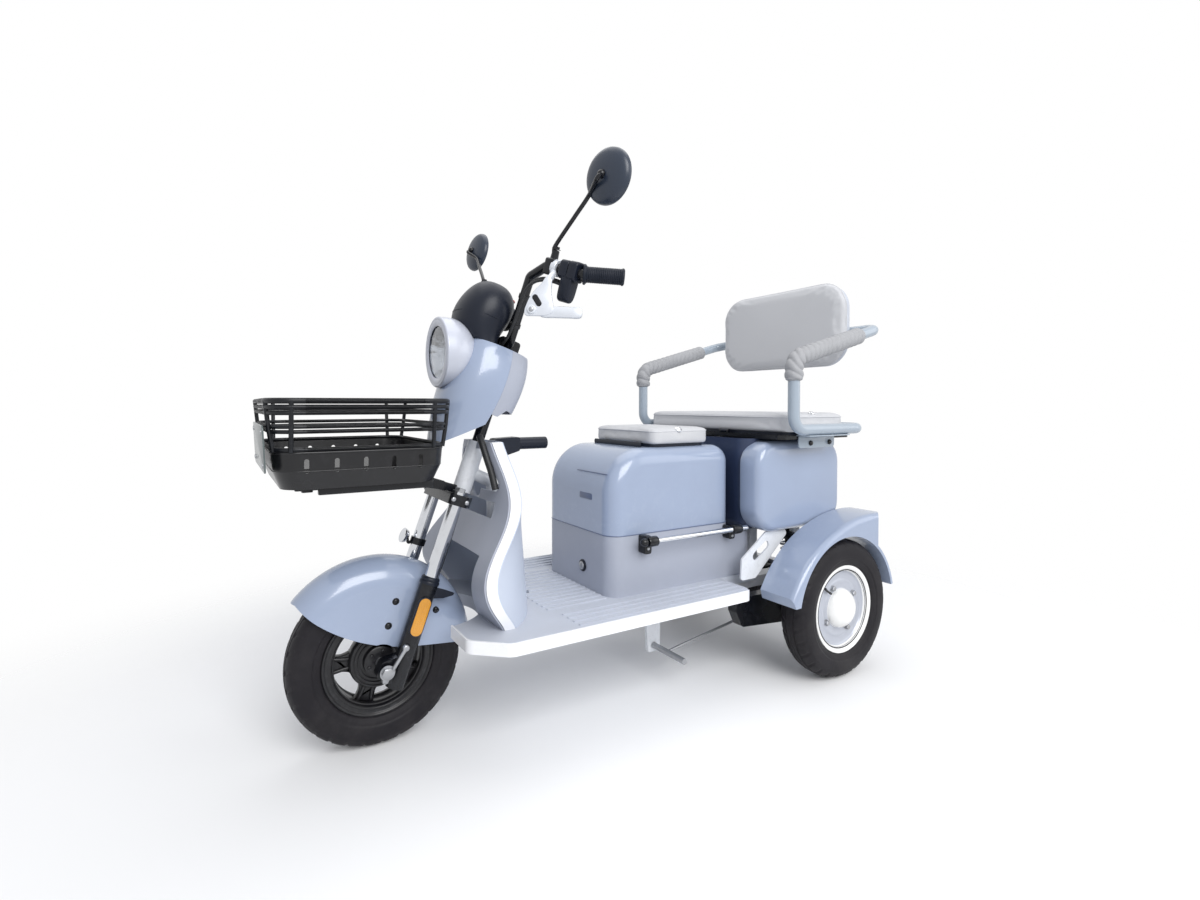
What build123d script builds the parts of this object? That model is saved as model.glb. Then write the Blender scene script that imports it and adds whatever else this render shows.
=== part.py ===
"""Electric cargo tricycle: one steered front wheel with a basket over it, two rear wheels, a
step-through floor, a driver's seat on the battery box and a bench with a backrest on the rear box.

Frame: +Z up, ground at Z = 0, the vehicle faces -Y and its left side is +X. The origin lies on
the ground, midway along the overall length. Millimetres.
"""
import os
from math import cos, radians, sin

from build123d import *

os.makedirs("parts", exist_ok=True)

# ------------------------------------------------------------------ driving dimensions
# wheels
wheelbase = 1167.0
front_axle_y = -606.0
rear_axle_y = front_axle_y + wheelbase
wheel_radius = 187.5
tyre_width = 80.0
rim_flange_radius = 117.0
bead_radius = 103.5
axle_radius = 6.0
rear_wheel_x = 308.0
rear_shaft_radius = 10.0
running_gap = 0.05
seat_gap = 0.3
wall = 4.0

# steering
rake = 20.0
fork_drop = 377.0
fork_lead = 67.0
leg_x = 77.0
leg_y = -34.0
fork_tube_radius = 15.0
slider_radius = 20.0
stem_radius = 14.0
head_tube_radius = 22.0
head_tube_low = 20.0
head_tube_high = 142.0

# floor, frame and boxes
floor_half_width = 281.0
floor_rear = 271.0
floor_front = -476.0
floor_top = 270.0
floor_thickness = 24.0
trim_thickness = 4.0
rib_height = 3.0
wheel_arch_radius = 132.0
rail_x = 120.0
rail_height = 30.0
rail_width = 40.0
box_half_width = 160.0
box_front = -86.0
box_rear = 408.0
cover_rear = 321.0
box_seam = 420.0
cover_top = 632.0
rear_box_half_width = 245.0
rear_box_front = rear_axle_y - 216.0
rear_box_rear = rear_axle_y + 122.0
rear_box_bottom = 392.0
rear_box_top = 649.0

# seats
front_seat_half_width = 130.0
front_seat_front = 63.0
front_seat_rear = 254.0
front_seat_top = 681.0
rear_seat_half_width = 286.0
rear_seat_front = rear_box_front + 49.0
rear_seat_rear = rear_box_rear - 70.0
rear_seat_top = 719.0
pan_thickness = 7.0
deck_thickness = 12.0
backrest_half_width = 236.0
backrest_low = 861.0
backrest_high = 1110.0
backrest_front = rear_box_rear + 7.0
backrest_thickness = 38.0

# armrests
arm_tube_radius = 15.0
arm_x = 312.0
arm_front = rear_box_front + 38.0
arm_base_rear = rear_box_rear - 11.0
arm_bend_z = 862.0
arm_rear = rear_box_rear + 65.0
arm_rear_z = 962.0
sleeve_radius = 22.0

# handlebar and basket
bar_radius = 11.0
grip_radius = 17.0
basket_half_width = 200.0
basket_front = -838.0
basket_rear = -490.0
basket_rim_z = 750.0
tub_top = 657.0
tub_bottom = 588.0

# ------------------------------------------------------------------ places worked out from them
rake_sin = sin(radians(rake))
rake_cos = cos(radians(rake))
head_y = front_axle_y + fork_drop * rake_sin + fork_lead * rake_cos
head_z = wheel_radius + fork_drop * rake_cos - fork_lead * rake_sin
rail_top = floor_top - floor_thickness
rail_bottom = rail_top - rail_height

# Steering plane: its Z runs up the steering axis, its Y points rearward and square to the axis.
steer = Plane(origin=(0, head_y, head_z), x_dir=(1, 0, 0), z_dir=(0, rake_sin, rake_cos))


def steer_side(x):
    """The plane square to X at x, with sketch X rearward and sketch Y up the steering axis."""
    return Plane(origin=(x, head_y, head_z), x_dir=(0, rake_cos, -rake_sin), z_dir=(1, 0, 0))


def steer_point(x, y, z):
    """A point of the row frame from its place across, behind and up the steering axis."""
    return steer.from_local_coords((x, y, z))


def side_plane(x, y=0.0, z=0.0):
    """The plane square to X through a point, with sketch X along +Y and sketch Y along +Z."""
    return Plane(origin=(x, y, z), x_dir=(0, 1, 0), z_dir=(1, 0, 0))


def axle_plane(x, y, z):
    """The upright plane through an axle, with sketch X along +X and sketch Y up."""
    return Plane(origin=(x, y, z), x_dir=(1, 0, 0), z_dir=(0, -1, 0))


def tube(points, radius, corner, mode=Mode.ADD):
    """Sweeps a round section along straight runs joined by arcs, into the open part."""
    with BuildLine() as path:
        FilletPolyline(*points, radius=corner)
    with BuildSketch(path.line ^ 0) as section:
        Circle(radius)
    sweep(section.sketch, path=path.line, mode=mode)


def rod(start, end, radius, mode=Mode.ADD):
    """A straight round bar between two points, into the open part."""
    start = Vector(*start)
    run = Vector(*end) - start
    with BuildSketch(Plane(origin=start, z_dir=run.normalized())) as section:
        Circle(radius)
    extrude(section.sketch, amount=run.length, mode=mode)


def crescent(plane, half_width, middle, side, out, thickness):
    """A curved wall that runs from its two ends at side through middle at X = 0.

    out is 1 where the wall faces the sketch's +Y and -1 where it faces its -Y.
    """
    with BuildSketch(plane) as section:
        with BuildLine():
            for w, m in ((half_width, middle), (half_width - thickness, middle - out * thickness)):
                Spline((-w, side), (0, m), (w, side), tangents=[(0, out), (0, -out)])
            Line((-half_width, side), (thickness - half_width, side))
            Line((half_width, side), (half_width - thickness, side))
        make_face()
    return section.sketch


def bowed_strip(plane, half_width, middle, side, thickness):
    """A shallow arc from side to side through middle at X = 0, thickened along the sketch's Y."""
    with BuildSketch(plane) as section:
        with BuildLine():
            for shift in (0, thickness):
                ThreePointArc((-half_width, side + shift), (0, middle + shift), (half_width, side + shift))
            for x in (-half_width, half_width):
                Line((x, side), (x, side + thickness))
        make_face()
    return section.sketch


def oval_section(plane, half_width, front, side, rear, inset=0.0):
    """A closed outline, widest at side, that runs from front to rear and mirrors about X = 0."""
    with BuildSketch(plane) as section:
        with BuildLine():
            Spline(
                (0, front + inset),
                (half_width - inset, side),
                tangents=[(1, 0), (0, 1)],
                tangent_scalars=[1.3, 1.3],
            )
            Spline(
                (half_width - inset, side),
                (0, rear - inset),
                tangents=[(0, 1), (-1, 0)],
                tangent_scalars=[1.3, 1.3],
            )
            mirror(about=Plane.YZ)
        make_face()
    return section.sketch


# ------------------------------------------------------------------ wheels
def tyre_profile(plane):
    """Round tread on bulging walls, with bead heels on the rim seat."""
    half = tyre_width / 2
    heel = bead_radius + seat_gap
    shoulder = (half - 6, wheel_radius - 13)
    inner_shoulder = (half - 14, wheel_radius - 24)
    toe = (half - 22, heel)
    lip = (half - 9, rim_flange_radius + 3)
    bead = (lip, (half - 13.5, rim_flange_radius), (half - 13.5, heel), toe)

    def other(point):
        return (-point[0], point[1])

    with BuildSketch(plane) as profile:
        with BuildLine():
            ThreePointArc(other(shoulder), (0, wheel_radius), shoulder)
            ThreePointArc(shoulder, (half, wheel_radius - 36), lip)
            Polyline(*bead)
            ThreePointArc(toe, (half - 9, wheel_radius - 42), inner_shoulder)
            ThreePointArc(inner_shoulder, (0, wheel_radius - 12), other(inner_shoulder))
            ThreePointArc(other(inner_shoulder), (9 - half, wheel_radius - 42), other(toe))
            Polyline(*[other(point) for point in reversed(bead)])
            ThreePointArc(other(lip), (-half, wheel_radius - 36), other(shoulder))
        make_face()
    return profile.sketch


def rim_barrel_profile(plane):
    """The rim's well between its two flanges."""
    half = tyre_width / 2 - 13
    lip = 3.0
    with BuildSketch(plane) as profile:
        with BuildLine():
            Polyline(
                (-half - lip, bead_radius - 5),
                (-half - lip, rim_flange_radius),
                (-half, rim_flange_radius),
                (-half, bead_radius),
                (half, bead_radius),
                (half, rim_flange_radius),
                (half + lip, rim_flange_radius),
                (half + lip, bead_radius - 5),
                close=True,
            )
        make_face()
    return profile.sketch


front_wheel_plane = axle_plane(0, front_axle_y, wheel_radius)
front_wheel_axis = Axis((0, front_axle_y, wheel_radius), (1, 0, 0))

with BuildPart() as front_tyre:
    revolve(tyre_profile(front_wheel_plane), axis=front_wheel_axis)
front_tyre.part.label = "front_tyre"
export_step(front_tyre.part, "parts/front_tyre.step")

spoke_count = 5
hub_half = 38.0
hub_radius = 34.0
drum_radius = 62.0
with BuildPart() as front_rim:
    revolve(rim_barrel_profile(front_wheel_plane), axis=front_wheel_axis)
    # hub, with the brake drum's wider shoulder
    with BuildSketch(side_plane(0, front_axle_y, wheel_radius)):
        Circle(hub_radius)
    extrude(amount=hub_half, both=True)
    with BuildSketch(side_plane(-6, front_axle_y, wheel_radius)):
        Circle(drum_radius)
    extrude(amount=26)
    # broad cast spokes, waisted between the drum and the rim
    with BuildSketch(side_plane(0, front_axle_y, wheel_radius)):
        with PolarLocations(0, spoke_count):
            with BuildLine():
                Polyline(
                    (drum_radius - 10, -21),
                    (drum_radius + 14, -13),
                    (bead_radius - 3, -24),
                    (bead_radius - 3, 24),
                    (drum_radius + 14, 13),
                    (drum_radius - 10, 21),
                    close=True,
                )
            make_face()
    extrude(amount=9, both=True)
    with BuildSketch(side_plane(-60, front_axle_y, wheel_radius)):
        Circle(axle_radius + running_gap)
    extrude(amount=120, mode=Mode.SUBTRACT)
front_rim.part.label = "front_rim"
export_step(front_rim.part, "parts/front_rim.step")

for side_name, side in (("left", 1), ("right", -1)):
    wheel_plane = axle_plane(side * rear_wheel_x, rear_axle_y, wheel_radius)
    wheel_axis = Axis((side * rear_wheel_x, rear_axle_y, wheel_radius), (1, 0, 0))
    with BuildPart() as rear_tyre:
        revolve(tyre_profile(wheel_plane), axis=wheel_axis)
    rear_tyre.part.label = f"{side_name}_rear_tyre"
    export_step(rear_tyre.part, f"parts/{side_name}_rear_tyre.step")

    with BuildPart() as rear_rim:
        revolve(rim_barrel_profile(wheel_plane), axis=wheel_axis)
        # dished disc from the rim's well to the hub
        with BuildSketch(wheel_plane):
            with BuildLine():
                Polyline(
                    (side * 14, bead_radius - 4),
                    (side * 26, 86),
                    (side * 33, 62),
                    (side * 33, 46),
                    (side * 38, 44),
                    (side * 46, 20),
                    (side * 46, 0),
                    (side * 40, 0),
                    (side * 40, rear_shaft_radius + running_gap),
                    (side * -32, rear_shaft_radius + running_gap),
                    (side * -32, 30),
                    (side * 20, 30),
                    (side * 26, 56),
                    (side * 20, 82),
                    (side * 6, bead_radius - 4),
                    close=True,
                )
            make_face()
        revolve(axis=wheel_axis)
    rear_rim.part.label = f"{side_name}_rear_rim"
    export_step(rear_rim.part, f"parts/{side_name}_rear_rim.step")

# ------------------------------------------------------------------ fork and steering
cover_levels = (
    # along the axis, half width, front, widest point, rear
    (100, 60, -112, -46, 10),
    (160, 76, -124, -32, 26),
    (230, 92, -131, -22, 38),
    (300, 99, -126, -20, 42),
    (362, 88, -116, -24, 34),
)

crown_half = 12.0
crown_clearance = 6.0
crown_half_width = leg_x + slider_radius
clamp_z = 382.0
bracket_level, bracket_width, bracket_front, bracket_side, _ = cover_levels[2]
clamp_y = -19.0
with BuildPart() as steering_stem:
    with BuildSketch(steer.offset(-crown_half)):
        with BuildLine():
            FilletPolyline(
                (-crown_half_width, leg_y - 22),
                (crown_half_width, leg_y - 22),
                (crown_half_width, leg_y + 18),
                (32, 20),
                (-32, 20),
                (-crown_half_width, leg_y + 18),
                radius=12,
                close=True,
            )
        make_face()
    extrude(amount=2 * crown_half)
    with BuildSketch(steer):
        with Locations((-leg_x, leg_y), (leg_x, leg_y)):
            Circle(fork_tube_radius + running_gap)
    extrude(amount=crown_half + 1, both=True, mode=Mode.SUBTRACT)
    with BuildSketch(steer):
        Circle(stem_radius)
    extrude(amount=clamp_z)
    # handlebar clamp
    with BuildSketch(steer_side(0)):
        with BuildLine():
            FilletPolyline(
                (clamp_y - 20, clamp_z - 26),
                (16, clamp_z - 26),
                (16, clamp_z + 20),
                (clamp_y - 20, clamp_z + 20),
                radius=7,
                close=True,
            )
        make_face()
    extrude(amount=27, both=True)
    with BuildSketch(steer_side(0)):
        with Locations((clamp_y, clamp_z)):
            Circle(bar_radius + running_gap)
    extrude(amount=40, both=True, mode=Mode.SUBTRACT)
    # arms that hold the front cover from inside
    with BuildSketch(steer.offset(bracket_level)):
        with Locations((0, bracket_side)):
            Rectangle(2 * (bracket_width - wall - 1.6), 20)
        with Locations((0, (bracket_front + wall + seat_gap) / 2)):
            Rectangle(20, -bracket_front - wall - seat_gap)
    extrude(amount=-6)
steering_stem.part.label = "steering_stem"
export_step(steering_stem.part, "parts/steering_stem.step")

slider_top = -185.0
slider_low = -fork_drop - 33
tube_low = -fork_drop + 20
with BuildPart() as fork_tubes:
    with BuildSketch(steer.offset(tube_low)):
        with Locations((-leg_x, leg_y), (leg_x, leg_y)):
            Circle(fork_tube_radius)
    extrude(amount=crown_half + 6 - tube_low)
fork_tubes.part.label = "fork_tubes"
export_step(fork_tubes.part, "parts/fork_tubes.step")

lug_in = 60.0
with BuildPart() as fork_sliders:
    with BuildSketch(steer.offset(slider_low)):
        with Locations((leg_x, leg_y)):
            Circle(slider_radius)
    extrude(amount=slider_top - slider_low)
    # axle lug ahead of the leg
    with BuildSketch(steer_side(leg_x - 14)):
        with BuildLine():
            FilletPolyline(
                (leg_y, -fork_drop + 42),
                (-fork_lead - 14, -fork_drop + 16),
                (-fork_lead - 18, -fork_drop - 14),
                (-fork_lead + 4, -fork_drop - 24),
                (leg_y, -fork_drop - 24),
                radius=8,
                close=True,
            )
        make_face()
    extrude(amount=28)
    with BuildSketch(steer.offset(tube_low)):
        with Locations((leg_x, leg_y)):
            Circle(fork_tube_radius + running_gap)
    extrude(amount=slider_top - tube_low, mode=Mode.SUBTRACT)
    with BuildSketch(steer_side(0)):
        with Locations((-fork_lead, -fork_drop)):
            Circle(axle_radius + running_gap)
    extrude(amount=200, mode=Mode.SUBTRACT)
    mirror(about=Plane.YZ)
fork_sliders.part.label = "fork_sliders"
export_step(fork_sliders.part, "parts/fork_sliders.step")

spacer_gap = 1.0
with BuildPart() as front_axle:
    rod((-leg_x - 24, front_axle_y, wheel_radius), (leg_x + 24, front_axle_y, wheel_radius), axle_radius)
    with BuildSketch(side_plane(leg_x + 14, front_axle_y, wheel_radius)):
        RegularPolygon(12, 6)
    extrude(amount=8)
    with BuildSketch(side_plane(hub_half + spacer_gap, front_axle_y, wheel_radius)):
        Circle(11)
    extrude(amount=leg_x - 14 - hub_half - spacer_gap)
    mirror(about=Plane.YZ)
front_axle.part.label = "front_axle"
export_step(front_axle.part, "parts/front_axle.step")

# front fender: an arched section turned about the axle, cut to its side outline
fender_radius = 219.0
fender_half_width = leg_x - slider_radius - 1
fender_centre_y = front_axle_y - 5
fender_centre_z = wheel_radius + 5
fender_wall = 3.0


def fender_arch(inset):
    """Cross-section of the fender's arch about its centre, inset for the inner face."""
    plane = axle_plane(0, fender_centre_y, fender_centre_z)
    with BuildSketch(plane) as arch:
        with BuildLine():
            Line((-fender_half_width + inset, 40), (-fender_half_width + inset, fender_radius - 62))
            ThreePointArc(
                (-fender_half_width + inset, fender_radius - 62),
                (0, fender_radius - inset),
                (fender_half_width - inset, fender_radius - 62),
            )
            Line((fender_half_width - inset, fender_radius - 62), (fender_half_width - inset, 40))
            Line((fender_half_width - inset, 40), (-fender_half_width + inset, 40))
        make_face()
    return arch.sketch


fender_axis = Axis((0, fender_centre_y, fender_centre_z), (1, 0, 0))
with BuildPart() as front_fender:
    revolve(fender_arch(0), axis=fender_axis)
    revolve(fender_arch(fender_wall), axis=fender_axis, mode=Mode.SUBTRACT)
    with BuildSketch(side_plane(0)):
        with BuildLine():
            front_tip = (front_axle_y - 167, wheel_radius + 146)
            rear_tip = (front_axle_y + 228, wheel_radius + 8)
            Spline(
                front_tip,
                (front_axle_y - 63, wheel_radius + 66),
                (front_axle_y, wheel_radius + 41),
                (front_axle_y + 95, wheel_radius + 24),
                rear_tip,
            )
            Polyline(
                rear_tip,
                (front_axle_y + 240, wheel_radius + 240),
                (front_axle_y - 240, wheel_radius + 240),
                (front_axle_y - 240, wheel_radius + 150),
                front_tip,
            )
        make_face()
    extrude(amount=80, both=True, mode=Mode.INTERSECT)
front_fender.part.label = "front_fender"
export_step(front_fender.part, "parts/front_fender.step")

# ------------------------------------------------------------------ front cover and headlight
light_z = 864.0
light_front = -463.0
light_radius = 82.0
light_depth = 84.0
light_plane = Plane(origin=(0, light_front, light_z), x_dir=(1, 0, 0), z_dir=(0, 0, 1))
light_axis = Axis((0, light_front, light_z), (0, 1, 0))


def bowl_profile(grow):
    """Outer outline of the headlight bowl, from its ring back to its small rear face."""
    with BuildSketch(light_plane) as profile:
        with BuildLine():
            Line((0, -grow), (light_radius + grow, -grow))
            Line((light_radius + grow, -grow), (light_radius + grow, 14))
            TangentArc((light_radius + grow, 14), (36 + grow, light_depth + grow), tangent=(0, 1))
            Line((36 + grow, light_depth + grow), (0, light_depth + grow))
            Line((0, light_depth + grow), (0, -grow))
        make_face()
    return profile.sketch


with BuildPart() as headlight_bowl:
    revolve(bowl_profile(0), axis=light_axis)
    with BuildSketch(light_plane):
        with BuildLine():
            Polyline((0, -1), (light_radius - 7, -1), (light_radius - 7, 10), (40, 52), (0, 58), close=True)
        make_face()
    revolve(axis=light_axis, mode=Mode.SUBTRACT)
headlight_bowl.part.label = "headlight_bowl"
export_step(headlight_bowl.part, "parts/headlight_bowl.step")

with BuildPart() as headlight_lens:
    with BuildSketch(light_plane):
        with BuildLine():
            lens_edge = light_radius - 7 - seat_gap
            Line((0, -3), (0, 5))
            Line((0, 5), (lens_edge, 5))
            Line((lens_edge, 5), (lens_edge, 2))
            TangentArc((0, -3), (lens_edge, 2), tangent=(1, 0))
        make_face()
    revolve(axis=light_axis)
headlight_lens.part.label = "headlight_lens"
export_step(headlight_lens.part, "parts/headlight_lens.step")

with BuildPart() as front_cover:
    loft([crescent(steer.offset(z), w, f, s, -1, wall) for z, w, f, s, r in cover_levels])
    # its bottom edge climbs to the rear
    with BuildSketch(steer_side(0)):
        with BuildLine():
            Polyline((-160, 96), (-108, 106), (60, 262), (60, 60), (-160, 60), close=True)
        make_face()
    extrude(amount=130, both=True, mode=Mode.SUBTRACT)
    revolve(bowl_profile(seat_gap), axis=light_axis, mode=Mode.SUBTRACT)
front_cover.part.label = "front_cover"
export_step(front_cover.part, "parts/front_cover.step")

with BuildPart() as column_cover:
    loft([crescent(steer.offset(z), w, r, s + seat_gap, 1, wall) for z, w, f, s, r in cover_levels])
    with BuildSketch(steer_side(0)):
        with BuildLine():
            Polyline((-160, 60), (80, 60), (80, 226), (8, 226), (-8, 206), (-160, 206), close=True)
        make_face()
    extrude(amount=130, both=True, mode=Mode.SUBTRACT)
column_cover.part.label = "column_cover"
export_step(column_cover.part, "parts/column_cover.step")

# ------------------------------------------------------------------ handlebar
bar_middle = steer_point(0, clamp_y, clamp_z)
bar_points = (
    (0, bar_middle.Y, bar_middle.Z),
    (42, bar_middle.Y, bar_middle.Z),
    (128, -288, 1034),
    (178, -272, 1050),
    (262, -232, 1020),
    (307, -164, 1013),
)
bar_corner = 16.0


with BuildPart() as handlebar:
    tube(bar_points, bar_radius, bar_corner)
    mirror(about=Plane.YZ)
handlebar.part.label = "handlebar"
export_step(handlebar.part, "parts/handlebar.step")

grip_start = Vector(*bar_points[4]) + (Vector(*bar_points[5]) - Vector(*bar_points[4])) * 0.12
grip_end = Vector(*bar_points[5])
grip_run = (grip_end - grip_start).normalized()
with BuildPart() as grips:
    with BuildSketch(Plane(origin=grip_start, z_dir=grip_run)) as grip_section:
        Circle(grip_radius)
    extrude(grip_section.sketch, amount=(grip_end - grip_start).length + 4)
    with BuildSketch(Plane(origin=grip_start, z_dir=grip_run)) as grip_bore:
        Circle(bar_radius + running_gap)
    extrude(grip_bore.sketch, amount=(grip_end - grip_start).length + running_gap, mode=Mode.SUBTRACT)
    mirror(about=Plane.YZ)
grips.part.label = "grips"
export_step(grips.part, "parts/grips.step")

# dashboard dome
dome_levels = (
    (362.3, 72, -128, -80, -40),
    (417, 81, -158, -90, -36),
    (464, 80, -150, -86, -30),
    (496, 62, -134, -88, -44),
    (510, 34, -116, -88, -62),
)
with BuildPart() as dash_dome:
    loft([oval_section(steer.offset(z), w, f, s, r) for z, w, f, s, r in dome_levels])
    tube(bar_points, bar_radius + 1.5, bar_corner, Mode.SUBTRACT)
    split(bisect_by=Plane.YZ, keep=Keep.TOP)
    mirror(about=Plane.YZ)
    revolve(bowl_profile(seat_gap), axis=light_axis, mode=Mode.SUBTRACT)
dash_dome.part.label = "dash_dome"
export_step(dash_dome.part, "parts/dash_dome.step")

# switch housings inboard of the grips, brake levers below them
housing_start = Vector(*bar_points[4]) + (Vector(*bar_points[3]) - Vector(*bar_points[4])) * 0.12
housing_end = Vector(*bar_points[4]) + (Vector(*bar_points[3]) - Vector(*bar_points[4])) * 0.62
housing_run = (housing_end - housing_start).normalized()
housing_length = (housing_end - housing_start).length
with BuildPart() as switch_housings:
    with BuildSketch(Plane(origin=housing_start, z_dir=housing_run)) as housing_section:
        RectangleRounded(38, 42, 9)
    extrude(housing_section.sketch, amount=housing_length)
    with BuildSketch(Plane(origin=housing_start, z_dir=housing_run)) as housing_bore:
        Circle(bar_radius + running_gap)
    extrude(housing_bore.sketch, amount=housing_length, mode=Mode.SUBTRACT)
    mirror(about=Plane.YZ)
switch_housings.part.label = "switch_housings"
export_step(switch_housings.part, "parts/switch_housings.step")

perch_start = Vector(*bar_points[4]) + (Vector(*bar_points[3]) - Vector(*bar_points[4])) * 0.64
lever_pivot = Vector(199, -322, 958)
lever_tip = Vector(275, -232, 928)
with BuildPart() as brake_levers:
    # clamp on the bar
    with BuildSketch(Plane(origin=perch_start, z_dir=housing_run)) as perch_section:
        Circle(bar_radius + 7)
    extrude(perch_section.sketch, amount=9)
    # arm down to the pivot, and the blade outward from it
    with BuildLine() as lever_path:
        FilletPolyline(
            perch_start + housing_run * 4 + Vector(2, -10, -9),
            lever_pivot + Vector(-1, 6, 26),
            lever_pivot + Vector(3, -10, -12),
            lever_tip + Vector(-30, -34, 2),
            lever_tip,
            radius=9,
        )
    with BuildSketch(lever_path.line ^ 0) as lever_section:
        Ellipse(8.5, 4.5)
    sweep(lever_section.sketch, path=lever_path.line)
    with BuildSketch(Plane(origin=perch_start, z_dir=housing_run)) as perch_bore:
        Circle(bar_radius + running_gap)
    extrude(perch_bore.sketch, amount=9, mode=Mode.SUBTRACT)
    mirror(about=Plane.YZ)
brake_levers.part.label = "brake_levers"
export_step(brake_levers.part, "parts/brake_levers.step")

# mirrors on stems that rise from the bar's upper bend
mirror_radius = 56.0
mirror_centre = Vector(344, -224, 1202)
mirror_rise = Vector(0.277, 0.132, 0.952)
mirror_foot = Vector(*bar_points[3]) + housing_run * -16 + mirror_rise * (bar_radius + 0.2)
mirror_facings = {1: Vector(-0.25, 0.965, 0.04).normalized(), -1: Vector(-0.11, 0.98, -0.17).normalized()}


def on_side(point, side):
    """A point of the left half, or its place on the right half where side is -1."""
    return Vector(side * point.X, point.Y, point.Z)


with BuildPart() as mirrors:
    for side, facing in mirror_facings.items():
        centre = on_side(mirror_centre, side)
        with BuildSketch(Plane(origin=centre, z_dir=facing)) as mirror_outline:
            Circle(mirror_radius)
        extrude(mirror_outline.sketch, amount=7)
        with BuildSketch(Plane(origin=centre, z_dir=-facing)) as mirror_back:
            Circle(mirror_radius)
        extrude(mirror_back.sketch, amount=13, taper=40)
        tube(
            (
                on_side(mirror_foot, side),
                on_side(mirror_foot + mirror_rise * 26, side),
                on_side(mirror_foot + Vector(100, 30, 98), side),
                centre - facing * 9,
            ),
            5,
            14,
        )
mirrors.part.label = "mirrors"
export_step(mirrors.part, "parts/mirrors.step")

# ------------------------------------------------------------------ basket
basket_middle_y = (basket_front + basket_rear) / 2
basket_length = basket_rear - basket_front
rim_wire = 5.0
side_wire = 3.5
basket_corner = 46.0


def basket_ring(z, shrink, radius):
    """One closed wire round the basket at height z."""
    half_w = basket_half_width - shrink - radius
    half_l = basket_length / 2 - shrink - radius
    with BuildSketch(Plane.XY.offset(z)) as loop:
        with Locations((0, basket_middle_y)):
            RectangleRounded(2 * half_w, 2 * half_l, basket_corner)
    path = loop.sketch.face().outer_wire()
    with BuildSketch(path ^ 0) as section:
        Circle(radius)
    sweep(section.sketch, path=path)


with BuildPart() as basket_frame:
    basket_ring(basket_rim_z, 0, rim_wire)
    for ring_z, shrink in ((basket_rim_z - 22, 4), (basket_rim_z - 52, 8), (tub_top + 5, 12)):
        basket_ring(ring_z, shrink, side_wire)
    for post_y in (basket_front + 52, basket_middle_y, basket_rear - 52):
        foot = (basket_half_width - 17, post_y, tub_top + seat_gap)
        rod((basket_half_width - 5, post_y, basket_rim_z), foot, side_wire)
    mirror(about=Plane.YZ)
    for post_x in (-basket_half_width + 52, basket_half_width - 52):
        for post_y, lean in ((basket_front + 5, 12), (basket_rear - 5, -12)):
            rod((post_x, post_y, basket_rim_z), (post_x, post_y + lean, tub_top + 0.4), side_wire)
basket_frame.part.label = "basket_frame"
export_step(basket_frame.part, "parts/basket_frame.step")

tub_shrink = 14.0
tub_taper = 16.0
def tub_level(z, lean):
    """Plan of the tub at height z, drawn in by lean."""
    with BuildSketch(Plane.XY.offset(z)) as level:
        with Locations((0, basket_middle_y)):
            RectangleRounded(
                2 * (basket_half_width - tub_shrink - lean),
                basket_length - 2 * (tub_shrink + lean),
                basket_corner - min(lean, wall),
            )
    return level.sketch


tub_waist = tub_bottom + 34
with BuildPart() as basket_tub:
    loft([tub_level(tub_bottom, tub_taper), tub_level(tub_waist, 3), tub_level(tub_top, 0)], ruled=True)
    loft(
        [
            tub_level(tub_bottom + wall, tub_taper + wall - 1),
            tub_level(tub_waist, 3 + wall),
            tub_level(tub_top, wall),
        ],
        ruled=True,
        mode=Mode.SUBTRACT,
    )
    # rows of upright slots in the sides
    with BuildSketch(side_plane(0)):
        with Locations((basket_middle_y, tub_bottom + 44)):
            with GridLocations(52, 1, 5, 1):
                SlotOverall(26, 9, rotation=90)
    extrude(amount=basket_half_width + 10, both=True, mode=Mode.SUBTRACT)
basket_tub.part.label = "basket_tub"
export_step(basket_tub.part, "parts/basket_tub.step")

with BuildPart() as basket_bracket:
    with BuildSketch(side_plane(38)):
        with BuildLine():
            crown_top = steer_point(0, leg_y - 22, crown_half + seat_gap)
            crown_back = steer_point(0, leg_y + 14, crown_half + seat_gap)
            FilletPolyline(
                (crown_top.Y, crown_top.Z),
                (crown_back.Y, crown_back.Z),
                (crown_back.Y - 6, crown_back.Z + 22),
                (basket_rear - 30, tub_bottom),
                (basket_rear - 210, tub_bottom),
                (basket_rear - 206, tub_bottom - 9),
                (basket_rear - 40, tub_bottom - 24),
                radius=3,
                close=True,
            )
        make_face()
    extrude(amount=8)
    mirror(about=Plane.YZ)
basket_bracket.part.label = "basket_bracket"
export_step(basket_bracket.part, "parts/basket_bracket.step")

with BuildPart() as fork_reflectors:
    with BuildSketch(steer_side(leg_x + slider_radius)):
        with Locations((leg_y - 4, slider_top - 70)):
            SlotOverall(84, 30, rotation=90)
    extrude(amount=9)
    mirror(about=Plane.YZ)
fork_reflectors.part.label = "fork_reflectors"
export_step(fork_reflectors.part, "parts/fork_reflectors.step")

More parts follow.
